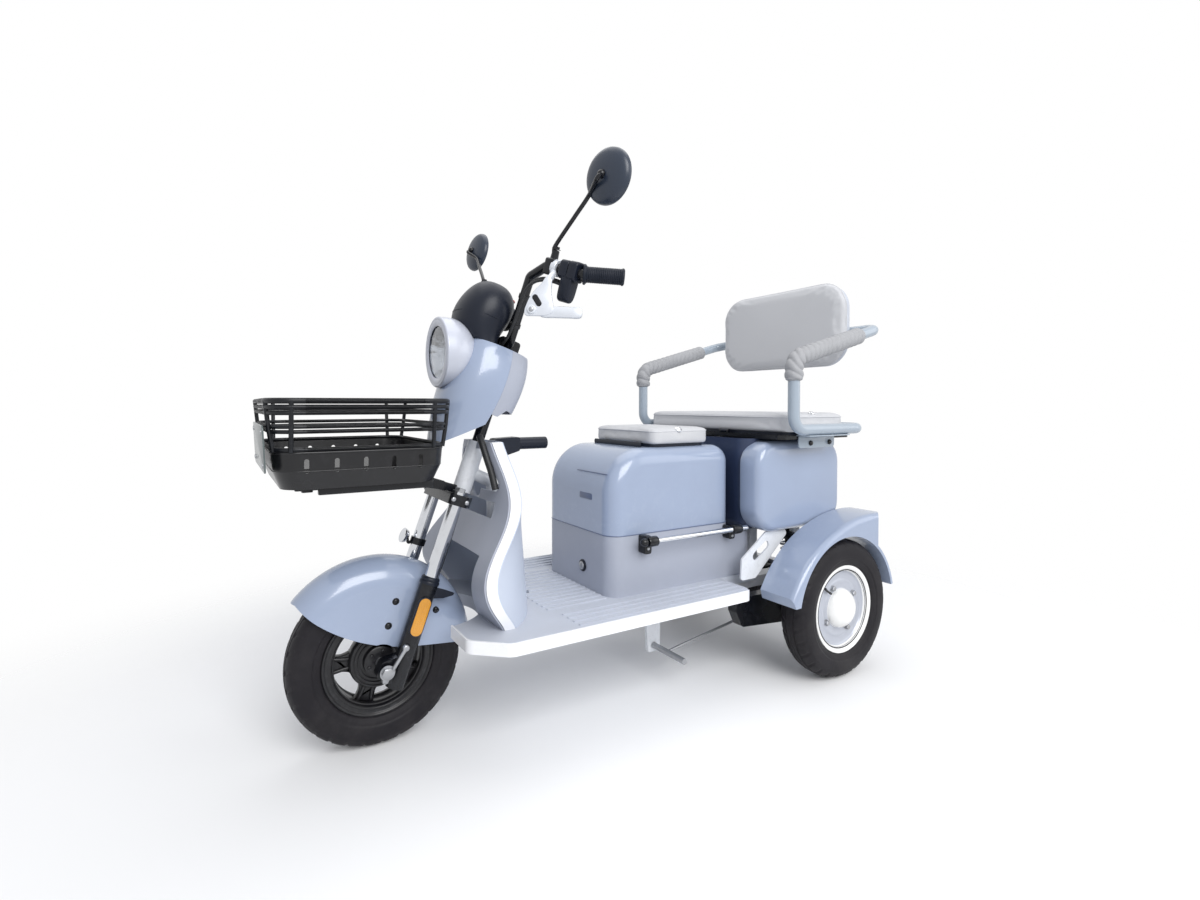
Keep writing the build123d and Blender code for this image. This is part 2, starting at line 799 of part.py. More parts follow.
# ------------------------------------------------------------------ frame
frame_rear = rear_axle_y + 98
cross_y = (-250.0, 90.0, rear_box_front + 90, frame_rear - 15)
pivot_y = rear_axle_y - 255
pivot_z = rail_bottom - 8.5
arm_pivot_x = 186.0
cross_width = 30.0
post_y_front = rear_box_front + 90
post_y_rear = rear_box_rear - 60
down_tube_radius = 14.5
lug_bore_radius = 9.0
with BuildPart() as frame:
    # side rails and the cross members between them
    with BuildSketch(Plane.XY.offset(rail_bottom)):
        for x in (-rail_x, rail_x):
            with Locations((x, (cross_y[0] + frame_rear) / 2)):
                Rectangle(rail_width, frame_rear - cross_y[0] + cross_width)
        for y in cross_y:
            with Locations((0, y)):
                Rectangle(2 * rail_x, cross_width)
    extrude(amount=rail_height)
    # posts under the rear box
    with BuildSketch(Plane.XY.offset(rail_top)):
        with Locations(*[(x, y) for x in (-rail_x, rail_x) for y in (post_y_front, post_y_rear)]):
            Rectangle(30, 30)
    extrude(amount=rear_box_bottom - seat_gap - rail_top)
    # pivot tube of the swing arms, under the rails
    with BuildSketch(side_plane(0)):
        with Locations((pivot_y, pivot_z)):
            Circle(17)
    extrude(amount=arm_pivot_x, both=True)
frame.part.label = "frame"
export_step(frame.part, "parts/frame.step")


def cut_cross_member(y):
    """Takes the room of one cross member out of the open part, so that the part butts against it."""
    with BuildSketch(Plane.XY.offset(rail_bottom)) as member:
        with Locations((0, y)):
            Rectangle(2 * rail_x, cross_width)
    extrude(member.sketch, amount=rail_height, mode=Mode.SUBTRACT)


with BuildPart() as head_tube:
    with BuildSketch(steer.offset(head_tube_low)):
        Circle(head_tube_radius)
    extrude(amount=head_tube_high - head_tube_low)
    # down tube from the head tube to the first cross member
    down_top = steer_point(0, 0, head_tube_low + 50)
    tube(
        (
            (0, down_top.Y, down_top.Z),
            (0, down_top.Y + 62, down_top.Z - 30),
            (0, -322, 300),
            (0, cross_y[0] - 8, rail_bottom + rail_height / 2),
            (0, cross_y[0] + 4, rail_bottom + rail_height / 2),
        ),
        down_tube_radius,
        11,
    )
    with BuildSketch(steer.offset(head_tube_low - 5)):
        Circle(stem_radius + running_gap)
    extrude(amount=head_tube_high - head_tube_low + 10, mode=Mode.SUBTRACT)
    cut_cross_member(cross_y[0])
head_tube.part.label = "head_tube"
export_step(head_tube.part, "parts/head_tube.step")

with BuildPart() as frame_lug:
    with BuildSketch(side_plane(56)):
        with BuildLine():
            FilletPolyline(
                (94, rail_bottom + 9),
                (148, rail_bottom + 9),
                (144, 66),
                (104, 66),
                radius=9,
                close=True,
            )
        make_face()
        with Locations((123, 84)):
            Circle(lug_bore_radius, mode=Mode.SUBTRACT)
    extrude(amount=10)
    cut_cross_member(cross_y[1])
frame_lug.part.label = "frame_lug"
export_step(frame_lug.part, "parts/frame_lug.step")

# ------------------------------------------------------------------ floor

def floor_outline(grow):
    """Plan of the floor board, rounded at the nose and cut round the front wheel."""
    half = floor_half_width + grow
    with BuildSketch(Plane.XY.offset(rail_top)) as outline:
        with BuildLine():
            FilletPolyline(
                (half, floor_rear),
                (half, floor_front + 66),
                (half - 60, floor_front - grow),
                (-half + 60, floor_front - grow),
                (-half, floor_front + 66),
                (-half, floor_rear),
                radius=28,
                close=True,
            )
        make_face()
    return outline.sketch


def cut_wheel_arch():
    """Clears the open part round the steered wheel and its fender."""
    with BuildSketch(steer.offset(-460)) as arch:
        Circle(wheel_arch_radius)
    extrude(arch.sketch, amount=360, mode=Mode.SUBTRACT)


with BuildPart() as floor_board:
    extrude(floor_outline(0), amount=floor_thickness)
    with BuildSketch(Plane.XY.offset(rail_top)):
        with Locations((0, (floor_rear + box_rear) / 2 - 10)):
            Rectangle(2 * box_half_width + 10, box_rear + 6 - floor_rear + 20)
    extrude(amount=floor_thickness)
    # long ribs beside and ahead of the battery box
    with BuildSketch(Plane.XY.offset(floor_top)):
        with Locations((0, (box_front - 262) / 2 + 2)):
            with GridLocations(24, 1, 13, 1):
                RectangleRounded(7, box_front + 252, 3)
        for x in (-1, 1):
            with Locations((x * 226, (floor_rear - 250) / 2)):
                with GridLocations(24, 1, 4, 1):
                    RectangleRounded(7, floor_rear + 230, 3)
    extrude(amount=rib_height)
    # slot for the down tube, inside the shield's foot
    with BuildSketch(Plane.XY.offset(rail_top - 1)) as tube_slot:
        with Locations((0, cross_y[0] - 34)):
            SlotOverall(110, 40, rotation=90)
    extrude(tube_slot.sketch, amount=floor_thickness + 10, mode=Mode.SUBTRACT)
    cut_wheel_arch()
floor_board.part.label = "floor_board"
export_step(floor_board.part, "parts/floor_board.step")

with BuildPart() as floor_trim:
    extrude(floor_outline(trim_thickness), amount=floor_thickness + rib_height)
    extrude(floor_outline(0), amount=floor_thickness + rib_height, mode=Mode.SUBTRACT)
    with BuildSketch(Plane.XY.offset(rail_top)):
        with Locations((0, floor_rear)):
            Rectangle(2 * floor_half_width, 60)
    extrude(amount=floor_thickness + rib_height, mode=Mode.SUBTRACT)
    cut_wheel_arch()
floor_trim.part.label = "floor_trim"
export_step(floor_trim.part, "parts/floor_trim.step")

# ------------------------------------------------------------------ leg shield
shield_wall = 3.5
shield_levels = (
    # height, half width, front, widest point, rear
    (floor_top, 206, -400, -378, -264),
    (310, 214, -423, -404, -264),
    (350, 212, -429, -420, -266),
    (443, 186, -392, -382, -274),
    (535, 150, -369, -338, -296),
    (610, 112, -380, -346, -320),
    (656, 82, -374, -352, -330),
)
window_low = 545.0
window_high = 640.0


def cut_shield():
    """Cuts the arch window, room for the head tube and fork crown, and the wheel arch."""
    with BuildSketch(Plane.XZ.offset(200)) as window:
        with BuildLine():
            FilletPolyline(
                (-124, window_low),
                (124, window_low),
                (66, window_high),
                (-66, window_high),
                radius=16,
                close=True,
            )
        make_face()
    extrude(window.sketch, amount=300, mode=Mode.SUBTRACT)
    with BuildSketch(steer.offset(-40)) as stem_room:
        Circle(head_tube_radius + 22)
    extrude(stem_room.sketch, amount=95, mode=Mode.SUBTRACT)
    with BuildSketch(steer) as head_room:
        Circle(head_tube_radius + seat_gap)
    extrude(head_room.sketch, amount=200, mode=Mode.SUBTRACT)
    with BuildSketch(steer.offset(-crown_half - crown_clearance)) as crown_room:
        Circle(crown_half_width + crown_clearance + 6)
    extrude(crown_room.sketch, amount=2 * (crown_half + crown_clearance), mode=Mode.SUBTRACT)
    cut_wheel_arch()


band_width = 24.0
band_depth = 9.0
with BuildPart() as leg_shield:
    front_edge = band_width / 2 + 2 * seat_gap
    loft(
        [
            bowed_strip(Plane.XY.offset(z), w, f, s - front_edge - shield_wall, shield_wall)
            for z, w, f, s, r in shield_levels
        ]
    )
    cut_shield()
leg_shield.part.label = "leg_shield"
export_step(leg_shield.part, "parts/leg_shield.step")

with BuildPart() as shield_back:
    rear_edge = band_width / 2 + 2 * seat_gap
    loft(
        [
            bowed_strip(Plane.XY.offset(z), w, r, s + rear_edge + shield_wall, -shield_wall)
            for z, w, f, s, r in shield_levels
        ]
    )
    cut_shield()
shield_back.part.label = "shield_back"
export_step(shield_back.part, "parts/shield_back.step")

with BuildPart() as shield_trim:
    band_sections = []
    for z, w, f, s, r in shield_levels:
        with BuildSketch(Plane.XY.offset(z)) as band:
            with Locations((w + 2.5 - band_depth / 2, s)):
                Rectangle(band_depth, band_width)
        band_sections.append(band.sketch)
    loft(band_sections)
    mirror(about=Plane.YZ)
shield_trim.part.label = "shield_trim"
export_step(shield_trim.part, "parts/shield_trim.step")

# hand lever for the parking brake, on a bracket behind the head tube
lever_z = 646.0
lever_front = -325.4
lever_rear = -180.0
with BuildPart() as hand_lever:
    rod((0, lever_front, lever_z), (0, lever_rear, lever_z), 15)
    with BuildSketch(side_plane(0)):
        with BuildLine():
            FilletPolyline(
                (lever_front - 2, lever_z + 14),
                (lever_front + 66, lever_z + 17),
                (lever_front + 66, lever_z - 17),
                (lever_front + 20, lever_z - 30),
                (lever_front - 2, lever_z - 20),
                radius=6,
                close=True,
            )
        make_face()
    extrude(amount=17, both=True)
hand_lever.part.label = "hand_lever"
export_step(hand_lever.part, "parts/hand_lever.step")

# ------------------------------------------------------------------ battery box and driver's seat
box_corner = 40.0
box_length = box_rear - box_front
cover_length = cover_rear - box_front


box_step = rear_box_bottom - 4

# seat hinges: a knuckle on the pan turns on a pin between two lugs of the piece below
hinge_x = 70.0
knuckle_radius = 4.6
knuckle_half = 12.0
hinge_pin_radius = 2.2
hinge_gap = 0.4
front_hinge_y = front_seat_front - 10
front_hinge_z = cover_top + knuckle_radius + 1.0
rear_hinge_y = rear_seat_front - 10
rear_hinge_z = rear_box_top + deck_thickness + knuckle_radius + 1.3


def hinge_round(x, y, z, radius, half, mode=Mode.ADD):
    """A cylinder along X, centred on the hinge line, in the open part."""
    with BuildSketch(side_plane(x, y, z)) as section:
        Circle(radius)
    extrude(section.sketch, amount=half, both=True, mode=mode)


def hinge_lugs(y, z, low):
    """Lugs either side of each knuckle with the pin between them, standing on a top at low."""
    for x in (-hinge_x, hinge_x):
        hinge_round(x, y, z, hinge_pin_radius, knuckle_half + 6)
        for side in (-1, 1):
            with BuildSketch(side_plane(x + side * (knuckle_half + hinge_gap + 2.5), y, z)) as lug:
                Circle(knuckle_radius)
                with Locations((0, (low - z) / 2)):
                    Rectangle(2 * knuckle_radius, z - low)
            extrude(lug.sketch, amount=2.5, both=True)


def hinge_knuckles(y, z, seat_front, low):
    """Knuckles with their bores, each on a leaf that runs under the seat's front edge."""
    for x in (-hinge_x, hinge_x):
        hinge_round(x, y, z, knuckle_radius, knuckle_half)
        with BuildSketch(Plane.XY.offset(low)) as leaf:
            with Locations((x, (y + seat_front + 6) / 2)):
                Rectangle(2 * knuckle_half, seat_front + 6 - y)
        extrude(leaf.sketch, amount=4)
        hinge_round(x, y, z, hinge_pin_radius + running_gap, knuckle_half + 1, Mode.SUBTRACT)


def box_plan(z, rear, corner, inset):
    """Plan of the battery box from its front to rear, inset for the inner face."""
    with BuildSketch(Plane.XY.offset(z)) as plan:
        with Locations((0, (box_front + rear) / 2)):
            RectangleRounded(2 * (box_half_width - inset), rear - box_front - 2 * inset, corner - inset)
    return plan.sketch


with BuildPart() as battery_box:
    extrude(box_plan(floor_top, box_rear, box_corner, 0), amount=box_step - floor_top)
    extrude(box_plan(box_step, cover_rear, box_corner, 0), amount=box_seam - box_step)
    hollow = box_plan(floor_top + wall, box_rear, box_corner, wall)
    extrude(hollow, amount=box_step - floor_top - 2 * wall, mode=Mode.SUBTRACT)
    extrude(box_plan(box_step - wall, cover_rear, box_corner, wall), amount=100, mode=Mode.SUBTRACT)
battery_box.part.label = "battery_box"
export_step(battery_box.part, "parts/battery_box.step")

cover_front_arc = 110.0
cover_rear_arc = 46.0
bin_half_width = front_seat_half_width - 26
bin_front = front_seat_front + 24
bin_rear = front_seat_rear - 20


def cover_body(inset, low):
    """The seat cover as a solid: a round front in side view, and soft edges all round."""
    half = box_half_width - inset
    front, rear, high = box_front + inset, cover_rear - inset, cover_top - inset
    with BuildPart() as body:
        with BuildSketch(side_plane(-half)) as profile:
            with BuildLine():
                Polyline((front, low), (front, high), (rear, high), (rear, low), close=True)
            make_face()
            front_top = profile.vertices().group_by(Axis.Y)[-1].sort_by(Axis.X)[0]
            fillet(front_top, radius=cover_front_arc - inset)
            rear_top = profile.vertices().group_by(Axis.Y)[-1].sort_by(Axis.X)[-1]
            fillet(rear_top, radius=cover_rear_arc - inset)
        extrude(amount=2 * half)
        side_faces = body.faces().sort_by(Axis.X)
        outlines = side_faces[0].edges() + side_faces[-1].edges()
        fillet(outlines.filter_by(lambda edge: edge.center().Z > low + 1), radius=box_corner - inset)
    return body.part


with BuildPart() as battery_cover:
    add(cover_body(0, box_seam + seat_gap))
    add(cover_body(wall, box_seam - 10), mode=Mode.SUBTRACT)
    # mouth of the bin under the driver's seat
    with BuildSketch(Plane.XY.offset(cover_top - 40)) as bin_mouth:
        with Locations((0, (bin_front + bin_rear) / 2)):
            RectangleRounded(2 * bin_half_width, bin_rear - bin_front, 18)
    extrude(bin_mouth.sketch, amount=60, mode=Mode.SUBTRACT)
    hinge_lugs(front_hinge_y, front_hinge_z, cover_top - 1)
battery_cover.part.label = "battery_cover"
export_step(battery_cover.part, "parts/battery_cover.step")

pack_clearance = 16.0
with BuildPart() as battery_pack:
    with BuildSketch(Plane.XY.offset(floor_top + wall)):
        with Locations((0, box_front + pack_clearance + 110)):
            Rectangle(2 * (box_half_width - pack_clearance - 30), 200)
    extrude(amount=190)
battery_pack.part.label = "battery_pack"
export_step(battery_pack.part, "parts/battery_pack.step")

front_pan_low = cover_top + seat_gap
front_seat_length = front_seat_rear - front_seat_front
front_seat_middle = (front_seat_rear + front_seat_front) / 2
with BuildPart() as front_seat_pan:
    with BuildSketch(Plane.XY.offset(front_pan_low)):
        with Locations((0, front_seat_middle)):
            RectangleRounded(2 * front_seat_half_width - 6, front_seat_length - 6, 22)
    extrude(amount=pan_thickness)
    hinge_knuckles(front_hinge_y, front_hinge_z, front_seat_front, front_pan_low + 1)
front_seat_pan.part.label = "front_seat_pan"
export_step(front_seat_pan.part, "parts/front_seat_pan.step")

with BuildPart() as front_seat_pad:
    with BuildSketch(Plane.XY.offset(front_pan_low + pan_thickness)):
        with Locations((0, front_seat_middle)):
            RectangleRounded(2 * front_seat_half_width, front_seat_length, 26)
    extrude(amount=front_seat_top - front_pan_low - pan_thickness)
    fillet(front_seat_pad.faces().sort_by(Axis.Z)[-1].edges(), radius=13)
front_seat_pad.part.label = "front_seat_pad"
export_step(front_seat_pad.part, "parts/front_seat_pad.step")

# ------------------------------------------------------------------ rear box, bench and deck
rear_box_corner = 58.0
rear_box_edge = 46.0


def rear_box_body(inset):
    """The rear box as a solid with a soft bottom edge, drawn in by inset at its sides and bottom."""
    with BuildPart() as body:
        with BuildSketch(Plane.XY.offset(rear_box_bottom + inset)):
            with Locations((0, (rear_box_front + rear_box_rear) / 2)):
                RectangleRounded(
                    2 * (rear_box_half_width - inset),
                    rear_box_rear - rear_box_front - 2 * inset,
                    rear_box_corner - inset,
                )
        extrude(amount=rear_box_top - rear_box_bottom - (0 if inset == 0 else inset - 10))
        fillet(body.faces().sort_by(Axis.Z)[0].edges(), radius=rear_box_edge - inset)
    return body.part


with BuildPart() as rear_box:
    add(rear_box_body(0))
    add(rear_box_body(wall), mode=Mode.SUBTRACT)
rear_box.part.label = "rear_box"
export_step(rear_box.part, "parts/rear_box.step")

deck_front = rear_seat_front - 16
deck_rear = rear_box_rear - 10
hatch_half_width = 190.0
hatch_front = rear_seat_front + 20
hatch_rear = rear_seat_rear - 24
with BuildPart() as seat_deck:
    with BuildSketch(Plane.XY.offset(rear_box_top + seat_gap)):
        with Locations((0, (deck_front + deck_rear) / 2)):
            RectangleRounded(2 * rear_seat_half_width - 16, deck_rear - deck_front, 20)
        with Locations((0, (hatch_front + hatch_rear) / 2)):
            RectangleRounded(2 * hatch_half_width, hatch_rear - hatch_front, 16, mode=Mode.SUBTRACT)
    extrude(amount=deck_thickness)
    hinge_lugs(rear_hinge_y, rear_hinge_z, rear_box_top + deck_thickness - 1)
seat_deck.part.label = "seat_deck"
export_step(seat_deck.part, "parts/seat_deck.step")

deck_top = rear_box_top + seat_gap + deck_thickness
rear_pan_low = deck_top + seat_gap
rear_seat_middle = (rear_seat_front + rear_seat_rear) / 2
rear_seat_length = rear_seat_rear - rear_seat_front
with BuildPart() as rear_seat_pan:
    with BuildSketch(Plane.XY.offset(rear_pan_low)):
        with Locations((0, rear_seat_middle)):
            RectangleRounded(2 * rear_seat_half_width - 10, rear_seat_length - 6, 22)
    extrude(amount=pan_thickness)
    hinge_knuckles(rear_hinge_y, rear_hinge_z, rear_seat_front, rear_pan_low + 1)
rear_seat_pan.part.label = "rear_seat_pan"
export_step(rear_seat_pan.part, "parts/rear_seat_pan.step")

with BuildPart() as rear_seat_pad:
    with BuildSketch(Plane.XY.offset(rear_pan_low + pan_thickness)):
        with Locations((0, rear_seat_middle)):
            RectangleRounded(2 * rear_seat_half_width, rear_seat_length, 26)
    extrude(amount=rear_seat_top - rear_pan_low - pan_thickness)
    fillet(rear_seat_pad.faces().sort_by(Axis.Z)[-1].edges(), radius=13)
rear_seat_pad.part.label = "rear_seat_pad"
export_step(rear_seat_pad.part, "parts/rear_seat_pad.step")

# ------------------------------------------------------------------ armrests and backrest
arm_base_z = deck_top + arm_tube_radius + seat_gap
arm_points = (
    (arm_x - 60, arm_base_rear, arm_base_z),
    (arm_x, arm_base_rear, arm_base_z),
    (arm_x, arm_front, arm_base_z),
    (arm_x, arm_front, arm_bend_z),
    (arm_x, arm_rear, arm_rear_z),
    (0, arm_rear, arm_rear_z),
)
bracket_x = rear_seat_half_width - 8 + seat_gap
with BuildPart() as armrest_frame:
    tube(arm_points, arm_tube_radius, 38)
    # foot plate under the tube, with a tab for its two bolts
    with BuildSketch(Plane.XY.offset(deck_top - 6)):
        with BuildLine():
            FilletPolyline(
                (bracket_x, arm_front - 24),
                (arm_x + 14, arm_front - 24),
                (arm_x + 14, arm_base_rear + 6),
                (bracket_x, arm_base_rear - 60),
                radius=5,
                close=True,
            )
        make_face()
    extrude(amount=6)
    with BuildSketch(side_plane(bracket_x)):
        with BuildLine():
            FilletPolyline(
                (arm_front + 60, deck_top - 3),
                (arm_front + 210, deck_top - 3),
                (arm_front + 190, deck_top - 36),
                (arm_front + 80, deck_top - 36),
                radius=8,
                close=True,
            )
        make_face()
    extrude(amount=4)
    mirror(about=Plane.YZ)
armrest_frame.part.label = "armrest_frame"
export_step(armrest_frame.part, "parts/armrest_frame.step")

with BuildPart() as armrest_sleeves:
    arm_slope = (arm_rear_z - arm_bend_z) / (arm_rear - arm_front)
    sleeve_points = (
        (arm_x, arm_front, arm_bend_z - 58),
        (arm_x, arm_front, arm_bend_z),
        (arm_x, arm_rear - 90, arm_bend_z + arm_slope * (arm_rear - 90 - arm_front)),
    )
    tube(sleeve_points, sleeve_radius, 38)
    tube(sleeve_points, arm_tube_radius + 2 * running_gap, 38, Mode.SUBTRACT)
    mirror(about=Plane.YZ)
armrest_sleeves.part.label = "armrest_sleeves"
export_step(armrest_sleeves.part, "parts/armrest_sleeves.step")

backrest_middle_z = (backrest_low + backrest_high) / 2
backrest_plane = Plane(origin=(0, backrest_front, backrest_middle_z), x_dir=(1, 0, 0), z_dir=(0, -1, 0))
shell_thickness = 12.0
with BuildPart() as backrest_pad:
    with BuildSketch(backrest_plane):
        RectangleRounded(2 * backrest_half_width, backrest_high - backrest_low, 78)
    extrude(amount=-(backrest_thickness - shell_thickness))
    fillet(backrest_pad.faces().sort_by(Axis.Y)[0].edges(), radius=14)
backrest_pad.part.label = "backrest_pad"
export_step(backrest_pad.part, "parts/backrest_pad.step")

with BuildPart() as backrest_shell:
    with BuildSketch(backrest_plane.offset(-(backrest_thickness - shell_thickness) - seat_gap)):
        RectangleRounded(2 * backrest_half_width, backrest_high - backrest_low, 78)
    extrude(amount=-shell_thickness + seat_gap)
    # two clamps that hold it to the crossing tube
    with BuildSketch(backrest_plane.offset(-backrest_thickness)):
        with Locations((-120, arm_rear_z - backrest_middle_z), (120, arm_rear_z - backrest_middle_z)):
            RectangleRounded(40, 50, 8)
    extrude(amount=-(arm_rear - backrest_front - backrest_thickness))
    with BuildSketch(side_plane(0)):
        with Locations((arm_rear, arm_rear_z)):
            Circle(arm_tube_radius + running_gap)
    extrude(amount=160, both=True, mode=Mode.SUBTRACT)
backrest_shell.part.label = "backrest_shell"
export_step(backrest_shell.part, "parts/backrest_shell.step")

# ------------------------------------------------------------------ rear fenders
rear_fender_in = rear_box_half_width + running_gap
rear_fender_out = rear_wheel_x + tyre_width / 2 + 4
rear_arch_radius = 199.0


rear_fender_soft = 16.0
tail_inner = 290.0
tail_outer = 118.0
lip_thickness = 8.0
lip_low_angle = 12.0
lip_high_angle = 70.0


def rear_fender_body(inset):
    """The fender as a solid over the wheel, with a raised tail and a soft outer edge."""
    y, z = rear_axle_y, wheel_radius
    with BuildPart() as body:
        with BuildSketch(side_plane(rear_fender_in)) as outline:
            with BuildLine():
                start = (y - 222 + inset, z + 64)
                brow = (y - 75, z + 204 - inset)
                crown_end = (y + 160, z + 249 - inset)
                tail = (y + 273 - inset, z + 144)
                rise = ThreePointArc(start, (y - 160, z + 145 - inset), brow)
                crest = TangentArc(brow, crown_end, tangent=rise % 1)
                TangentArc(crown_end, tail, tangent=crest % 1)
                Polyline(tail, (y + 215, z + 40), (y - 215, z + 40), start)
            make_face()
        extrude(amount=rear_fender_out - rear_fender_in - inset)
        outer = body.faces().sort_by(Axis.X)[-1]
        arcs = outer.edges().filter_by(GeomType.CIRCLE)
        fillet(arcs, radius=rear_fender_soft - inset)
        # the tail runs inward: its outer corner is cut away along a slanting line
        with BuildSketch(Plane.XY) as tail_cut:
            with BuildLine():
                Polyline(
                    (rear_fender_in - 10, y + tail_inner - inset),
                    (rear_fender_out + 10, y + tail_outer - inset),
                    (rear_fender_out + 10, y + 400),
                    (rear_fender_in - 10, y + 400),
                    close=True,
                )
            make_face()
        extrude(tail_cut.sketch, amount=wheel_radius + 300, mode=Mode.SUBTRACT)
    return body.part


with BuildPart() as rear_fenders:
    add(rear_fender_body(0))
    add(rear_fender_body(wall), mode=Mode.SUBTRACT)
    with BuildSketch(side_plane(rear_fender_in, rear_axle_y, wheel_radius)) as arch_cut:
        Circle(rear_arch_radius)
    extrude(arch_cut.sketch, amount=200, mode=Mode.SUBTRACT)
    # lip that follows the tyre down behind the wheel
    with BuildSketch(side_plane(rear_fender_in, rear_axle_y, wheel_radius)) as lip:
        with BuildLine():
            inner_arc = CenterArc((0, 0), rear_arch_radius, lip_low_angle, lip_high_angle - lip_low_angle)
            outer_arc = CenterArc(
                (0, 0), rear_arch_radius + lip_thickness, lip_low_angle, lip_high_angle - lip_low_angle
            )
            Line(inner_arc @ 0, outer_arc @ 0)
            Line(inner_arc @ 1, outer_arc @ 1)
        make_face()
    extrude(lip.sketch, amount=rear_fender_out - rear_fender_in)
    mirror(about=Plane.YZ)
rear_fenders.part.label = "rear_fenders"
export_step(rear_fenders.part, "parts/rear_fenders.step")

with BuildPart() as fender_brackets:
    with BuildSketch(side_plane(rear_box_half_width - 33)):
        with BuildLine():
            FilletPolyline(
                (296, floor_top + rib_height),
                (352, floor_top + rib_height),
                (rear_box_front + 131, rear_box_bottom - 12),
                (rear_box_front + 125, rear_box_bottom + 1.6),
                (rear_box_front + 47, rear_box_bottom + 1.6),
                (300, 330),
                radius=8,
                close=True,
            )
        make_face()
        with Locations(Location((372, 345), 33)):
            SlotOverall(70, 22, mode=Mode.SUBTRACT)
    extrude(amount=5)
    mirror(about=Plane.YZ)
fender_brackets.part.label = "fender_brackets"
export_step(fender_brackets.part, "parts/fender_brackets.step")

bar_foot_x = 200.0
bar_foot_z = 409.0
with BuildPart() as foot_bars:
    rod((bar_foot_x, -12, bar_foot_z), (bar_foot_x, 334, bar_foot_z), 7)
    for y in (0, 296):
        with BuildSketch(side_plane(box_half_width)):
            with Locations((y, bar_foot_z - 14)):
                RectangleRounded(26, 46, 6)
        extrude(amount=bar_foot_x + 12 - box_half_width)
    mirror(about=Plane.YZ)
foot_bars.part.label = "foot_bars"
export_step(foot_bars.part, "parts/foot_bars.step")

# ------------------------------------------------------------------ rear axle and suspension
axle_tube_radius = 22.0
drum_half = 262.0
with BuildPart() as rear_axle:
    with BuildSketch(side_plane(0, rear_axle_y, wheel_radius)) as axle_round:
        Circle(axle_tube_radius)
    extrude(axle_round.sketch, amount=drum_half - 34, both=True)
    # motor and gear housing
    with BuildSketch(side_plane(0, rear_axle_y, wheel_radius)) as housing_round:
        Circle(72)
    extrude(housing_round.sketch, amount=50, both=True)
    with BuildSketch(side_plane(50, rear_axle_y, wheel_radius)) as motor_round:
        Circle(60)
    extrude(motor_round.sketch, amount=46)
    # brake drums and the shafts that carry the wheels
    for x in (-drum_half, drum_half - 34):
        with BuildSketch(side_plane(x, rear_axle_y, wheel_radius)) as drum:
            Circle(66)
        extrude(drum.sketch, amount=34)
    with BuildSketch(side_plane(0, rear_axle_y, wheel_radius)) as shaft:
        Circle(rear_shaft_radius)
    extrude(shaft.sketch, amount=rear_wheel_x + 36, both=True)
rear_axle.part.label = "rear_axle"
export_step(rear_axle.part, "parts/rear_axle.step")

with BuildPart() as swing_arms:
    with BuildSketch(side_plane(arm_pivot_x + seat_gap)):
        with BuildLine():
            FilletPolyline(
                (pivot_y - 22, pivot_z + 18),
                (pivot_y + 120, pivot_z + 17),
                (rear_axle_y + 34, wheel_radius + 32),
                (rear_axle_y + 34, wheel_radius - 32),
                (pivot_y + 150, pivot_z - 74),
                (pivot_y - 4, pivot_z - 60),
                (pivot_y - 26, pivot_z - 16),
                radius=14,
                close=True,
            )
        make_face()
        with Locations((rear_axle_y, wheel_radius)):
            Circle(axle_tube_radius + running_gap, mode=Mode.SUBTRACT)
    extrude(amount=30)
    mirror(about=Plane.YZ)
swing_arms.part.label = "swing_arms"
export_step(swing_arms.part, "parts/swing_arms.step")

shock_x = 176.0
shock_top = rear_box_bottom - seat_gap
with BuildPart() as rear_shocks:
    shock_foot = (shock_x, rear_axle_y - 4, wheel_radius + axle_tube_radius + 9)
    rod(shock_foot, (shock_x, rear_axle_y - 40, shock_top), 8)
    rod((shock_x, rear_axle_y - 8, wheel_radius + 60), (shock_x, rear_axle_y - 34, shock_top - 24), 24)
    with BuildSketch(side_plane(shock_x - 10, rear_axle_y, wheel_radius)) as shock_eye:
        Circle(axle_tube_radius + 12)
        Circle(axle_tube_radius + running_gap, mode=Mode.SUBTRACT)
    extrude(shock_eye.sketch, amount=20)
    with BuildSketch(Plane.XY.offset(shock_top)) as shock_trim:
        with Locations((shock_x, rear_axle_y - 40)):
            Rectangle(80, 80)
    extrude(shock_trim.sketch, amount=40, mode=Mode.SUBTRACT)
    mirror(about=Plane.YZ)
rear_shocks.part.label = "rear_shocks"
export_step(rear_shocks.part, "parts/rear_shocks.step")

with BuildPart() as brake_rod:
    rod((66 + seat_gap, 123, 84), (190, 123, 84), 8)
    tube(((120, 123, 84), (120, 200, 96), (120, 420, 128), (120, rear_axle_y - 60, 150)), 3.5, 30)
brake_rod.part.label = "brake_rod"
export_step(brake_rod.part, "parts/brake_rod.step")

with BuildPart() as tail_lamps:
    with BuildSketch(Plane.XZ.offset(-rear_box_rear)):
        with Locations((-150, 560), (150, 560)):
            RectangleRounded(70, 50, 12)
    extrude(amount=-16)
tail_lamps.part.label = "tail_lamps"
export_step(tail_lamps.part, "parts/tail_lamps.step")
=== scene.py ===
"""Electric cargo tricycle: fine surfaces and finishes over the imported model.

The model's own frame: +Z up, the ground at Z = 0, the vehicle faces -Y and its left side is +X.
Shapes are drawn in millimetres and made in metres by Shell.built; the stage is in metres.
"""
import logging
import math
from dataclasses import dataclass, field, replace
from enum import Enum
from typing import Callable, Sequence

import bmesh
import bpy
import numpy as np
from mathutils import Matrix, Vector


